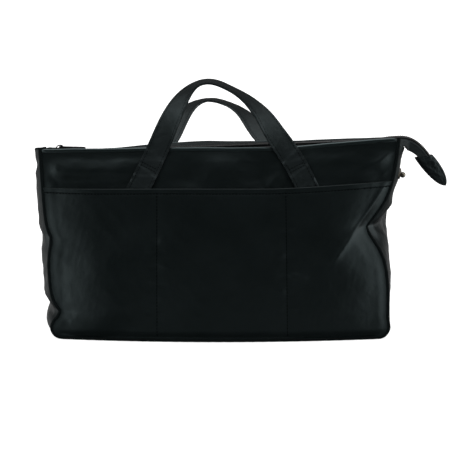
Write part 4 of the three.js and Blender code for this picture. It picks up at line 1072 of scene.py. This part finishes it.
def snap_seat(y):
    """Where a half of the snap sits on the right gusset, and the direction it faces."""
    step = 0.02
    forward = forward_of(y, SNAP_Z)
    x, z = gusset_point(1, SNAP_Z, np.pi / 2, forward, 0.0)
    x2, _ = gusset_point(1, SNAP_Z, np.pi / 2, forward + step, 0.0)
    slope = (x2 - x) / (2 * step * seam_depth(SNAP_Z))
    return np.array([x, y, z]), unit(np.array([1, -slope, 0.0]))


def turned_mesh(profile, seat):
    centre, axis = seat
    one, two = frames(np.array([centre, centre + axis]), np.array([0.0, 0.0, 1.0]))
    angle = circle(40)[:, None]
    ring = one[0] * np.cos(angle) + two[0] * np.sin(angle)
    return bar_mesh(np.array([centre + axis * y + ring * max(r, 0.02) for r, y in profile]))


def rounded(points, cut=0.18):
    """Breaks each corner of a profile into two points."""
    out = [points[0]]
    for a, b, c in zip(points[:-2], points[1:-1], points[2:]):
        for other in (a, c):
            d = np.subtract(other, b)
            length = np.linalg.norm(d)
            out.append(tuple(np.add(b, d / length * min(cut, length / 3))))
    return [*out, points[-1]]


FLANGE_TOP, SOCKET_TOP, SOCKET_BORE = SNAP_LIFT + SNAP_FLANGE, SNAP_LIFT + SOCKET_HEIGHT, BALL_R - CLEAR
FLANGE = [(0, SNAP_LIFT), (FLANGE_R, SNAP_LIFT), (FLANGE_R, FLANGE_TOP)]
BALL = [(BALL_R * math.sin(a), FLANGE_TOP + BALL_R + BALL_R * math.cos(a))
        for a in np.linspace(math.pi - math.asin(NECK_R / BALL_R), 0, 16)]
STUD = rounded([*FLANGE, (NECK_R + 0.5, FLANGE_TOP + 0.15), BALL[0]])[:-1] + BALL
SOCKET = rounded([*FLANGE, (SOCKET_R, FLANGE_TOP), (SOCKET_R, SOCKET_TOP), (SOCKET_BORE, SOCKET_TOP),
                  (SOCKET_BORE, FLANGE_TOP), (0, FLANGE_TOP)])
piece("right_stud_ball", turned_mesh(STUD, snap_seat(-SNAP_SPREAD / 2)), BRASS,
      ["right_snap_stud"])
piece("right_socket_ring", turned_mesh(SOCKET, snap_seat(SNAP_SPREAD / 2)), BRASS,
      ["right_snap_socket"])


# Solids that stay, with broken edges and their own finish

KEPT = [
    (METAL, 0.25, ("zip_slider", "zip_pull")), (METAL, 0.1, ("zip_stop_front", "zip_stop_back")),
    (BRASS, 0.15, ("right_snap_stud_cap", "right_snap_socket_cap")), (BOARD, 0.4, ("base_board",)),
]
for material, bevel, names in KEPT:
    for name in names:
        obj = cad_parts[name]
        obj.data.materials.clear()
        obj.data.materials.append(material)
        soft = obj.modifiers.new("broken_edges", "BEVEL")
        soft.width = bevel * MM
        soft.segments = 3
        soft.limit_method = "ANGLE"
        soft.angle_limit = math.radians(35)


# Floor, light and camera

FLOOR_R, FLOOR_SIDES, FLOOR_Z = 14, 96, -0.0005
SENSOR, FOCAL_PIXELS, PHOTO_PIXELS = 36, 1389, 460
VIEW_TARGET, VIEW_RISE, VIEW_DISTANCE = np.array([9, -55, 103]) * MM, math.radians(12), 1.25


def floor():
    mesh = bpy.data.meshes.new("floor")
    points = [(FLOOR_R * math.cos(a), FLOOR_R * math.sin(a), FLOOR_Z) for a in circle(FLOOR_SIDES)]
    mesh.from_pydata(points, [], [list(range(FLOOR_SIDES))])
    mat, tree, shader = new_material("floor_white")
    surface = {"Base Color": (0.5, 0.5, 0.5, 1), "Roughness": 0.9, "Specular IOR Level": 0.1,
               "Emission Color": (1, 1, 1, 1), "Emission Strength": 0.85}
    fill(tree, shader, surface, {})
    mesh.materials.append(mat)
    obj = placed("floor", mesh)
    obj.visible_glossy = False  # the dark cloth mirrors the room, not the white sweep under it


def studio():
    """Soft boxes on both sides and above, a low glow over the table, and a dim room."""
    world = bpy.data.worlds.new("studio")
    bpy.context.scene.world = world
    world.use_nodes = True
    tree = world.node_tree

    def ramp(socket, low, high, start, end):
        limits = {"From Min": low, "From Max": high, "To Min": start, "To Max": end}
        node = add(tree, "MapRange", limits, {"Value": socket})
        node.interpolation_type = "SMOOTHSTEP"
        return node.outputs["Result"]

    place = add(tree, "TexCoord").outputs["Generated"]
    x, y, z = add(tree, "SeparateXYZ", wires={"Vector": place}).outputs
    aside = ramp(maths(tree, "ABSOLUTE", x), 0.5, 0.85, 0, 1)
    before = ramp(y, -0.05, 0.4, 1, 0)
    ground = ramp(z, -0.6, -0.1, 0, 1)
    boxes = maths(tree, "MULTIPLY", maths(tree, "MULTIPLY", aside, before), ground)
    lit = maths(tree, "ADD", ramp(boxes, 0, 1, 0.04, 2.8), ramp(z, 0.68, 0.95, 0, 2.2))
    table = maths(tree, "MULTIPLY", ramp(z, -0.12, 0.16, 1, 0), ramp(z, -0.5, -0.2, 0, 0.4))
    strength = maths(tree, "ADD", lit, table)
    fill(tree, tree.nodes["Background"], {"Color": (1, 1, 1, 1)}, {"Strength": strength})


def camera():
    data = bpy.data.cameras.new("camera")
    data.sensor_fit = "HORIZONTAL"
    data.sensor_width = SENSOR
    data.lens = SENSOR * FOCAL_PIXELS / PHOTO_PIXELS
    data.clip_end = 60
    obj = placed("camera", data)
    obj.location = VIEW_TARGET + VIEW_DISTANCE * np.array([0, -math.cos(VIEW_RISE), math.sin(VIEW_RISE)])
    obj.rotation_euler = (math.pi / 2 - VIEW_RISE, 0, 0)
    bpy.context.scene.camera = obj


floor()
studio()
camera()
bpy.context.scene.view_settings.view_transform = "Standard"
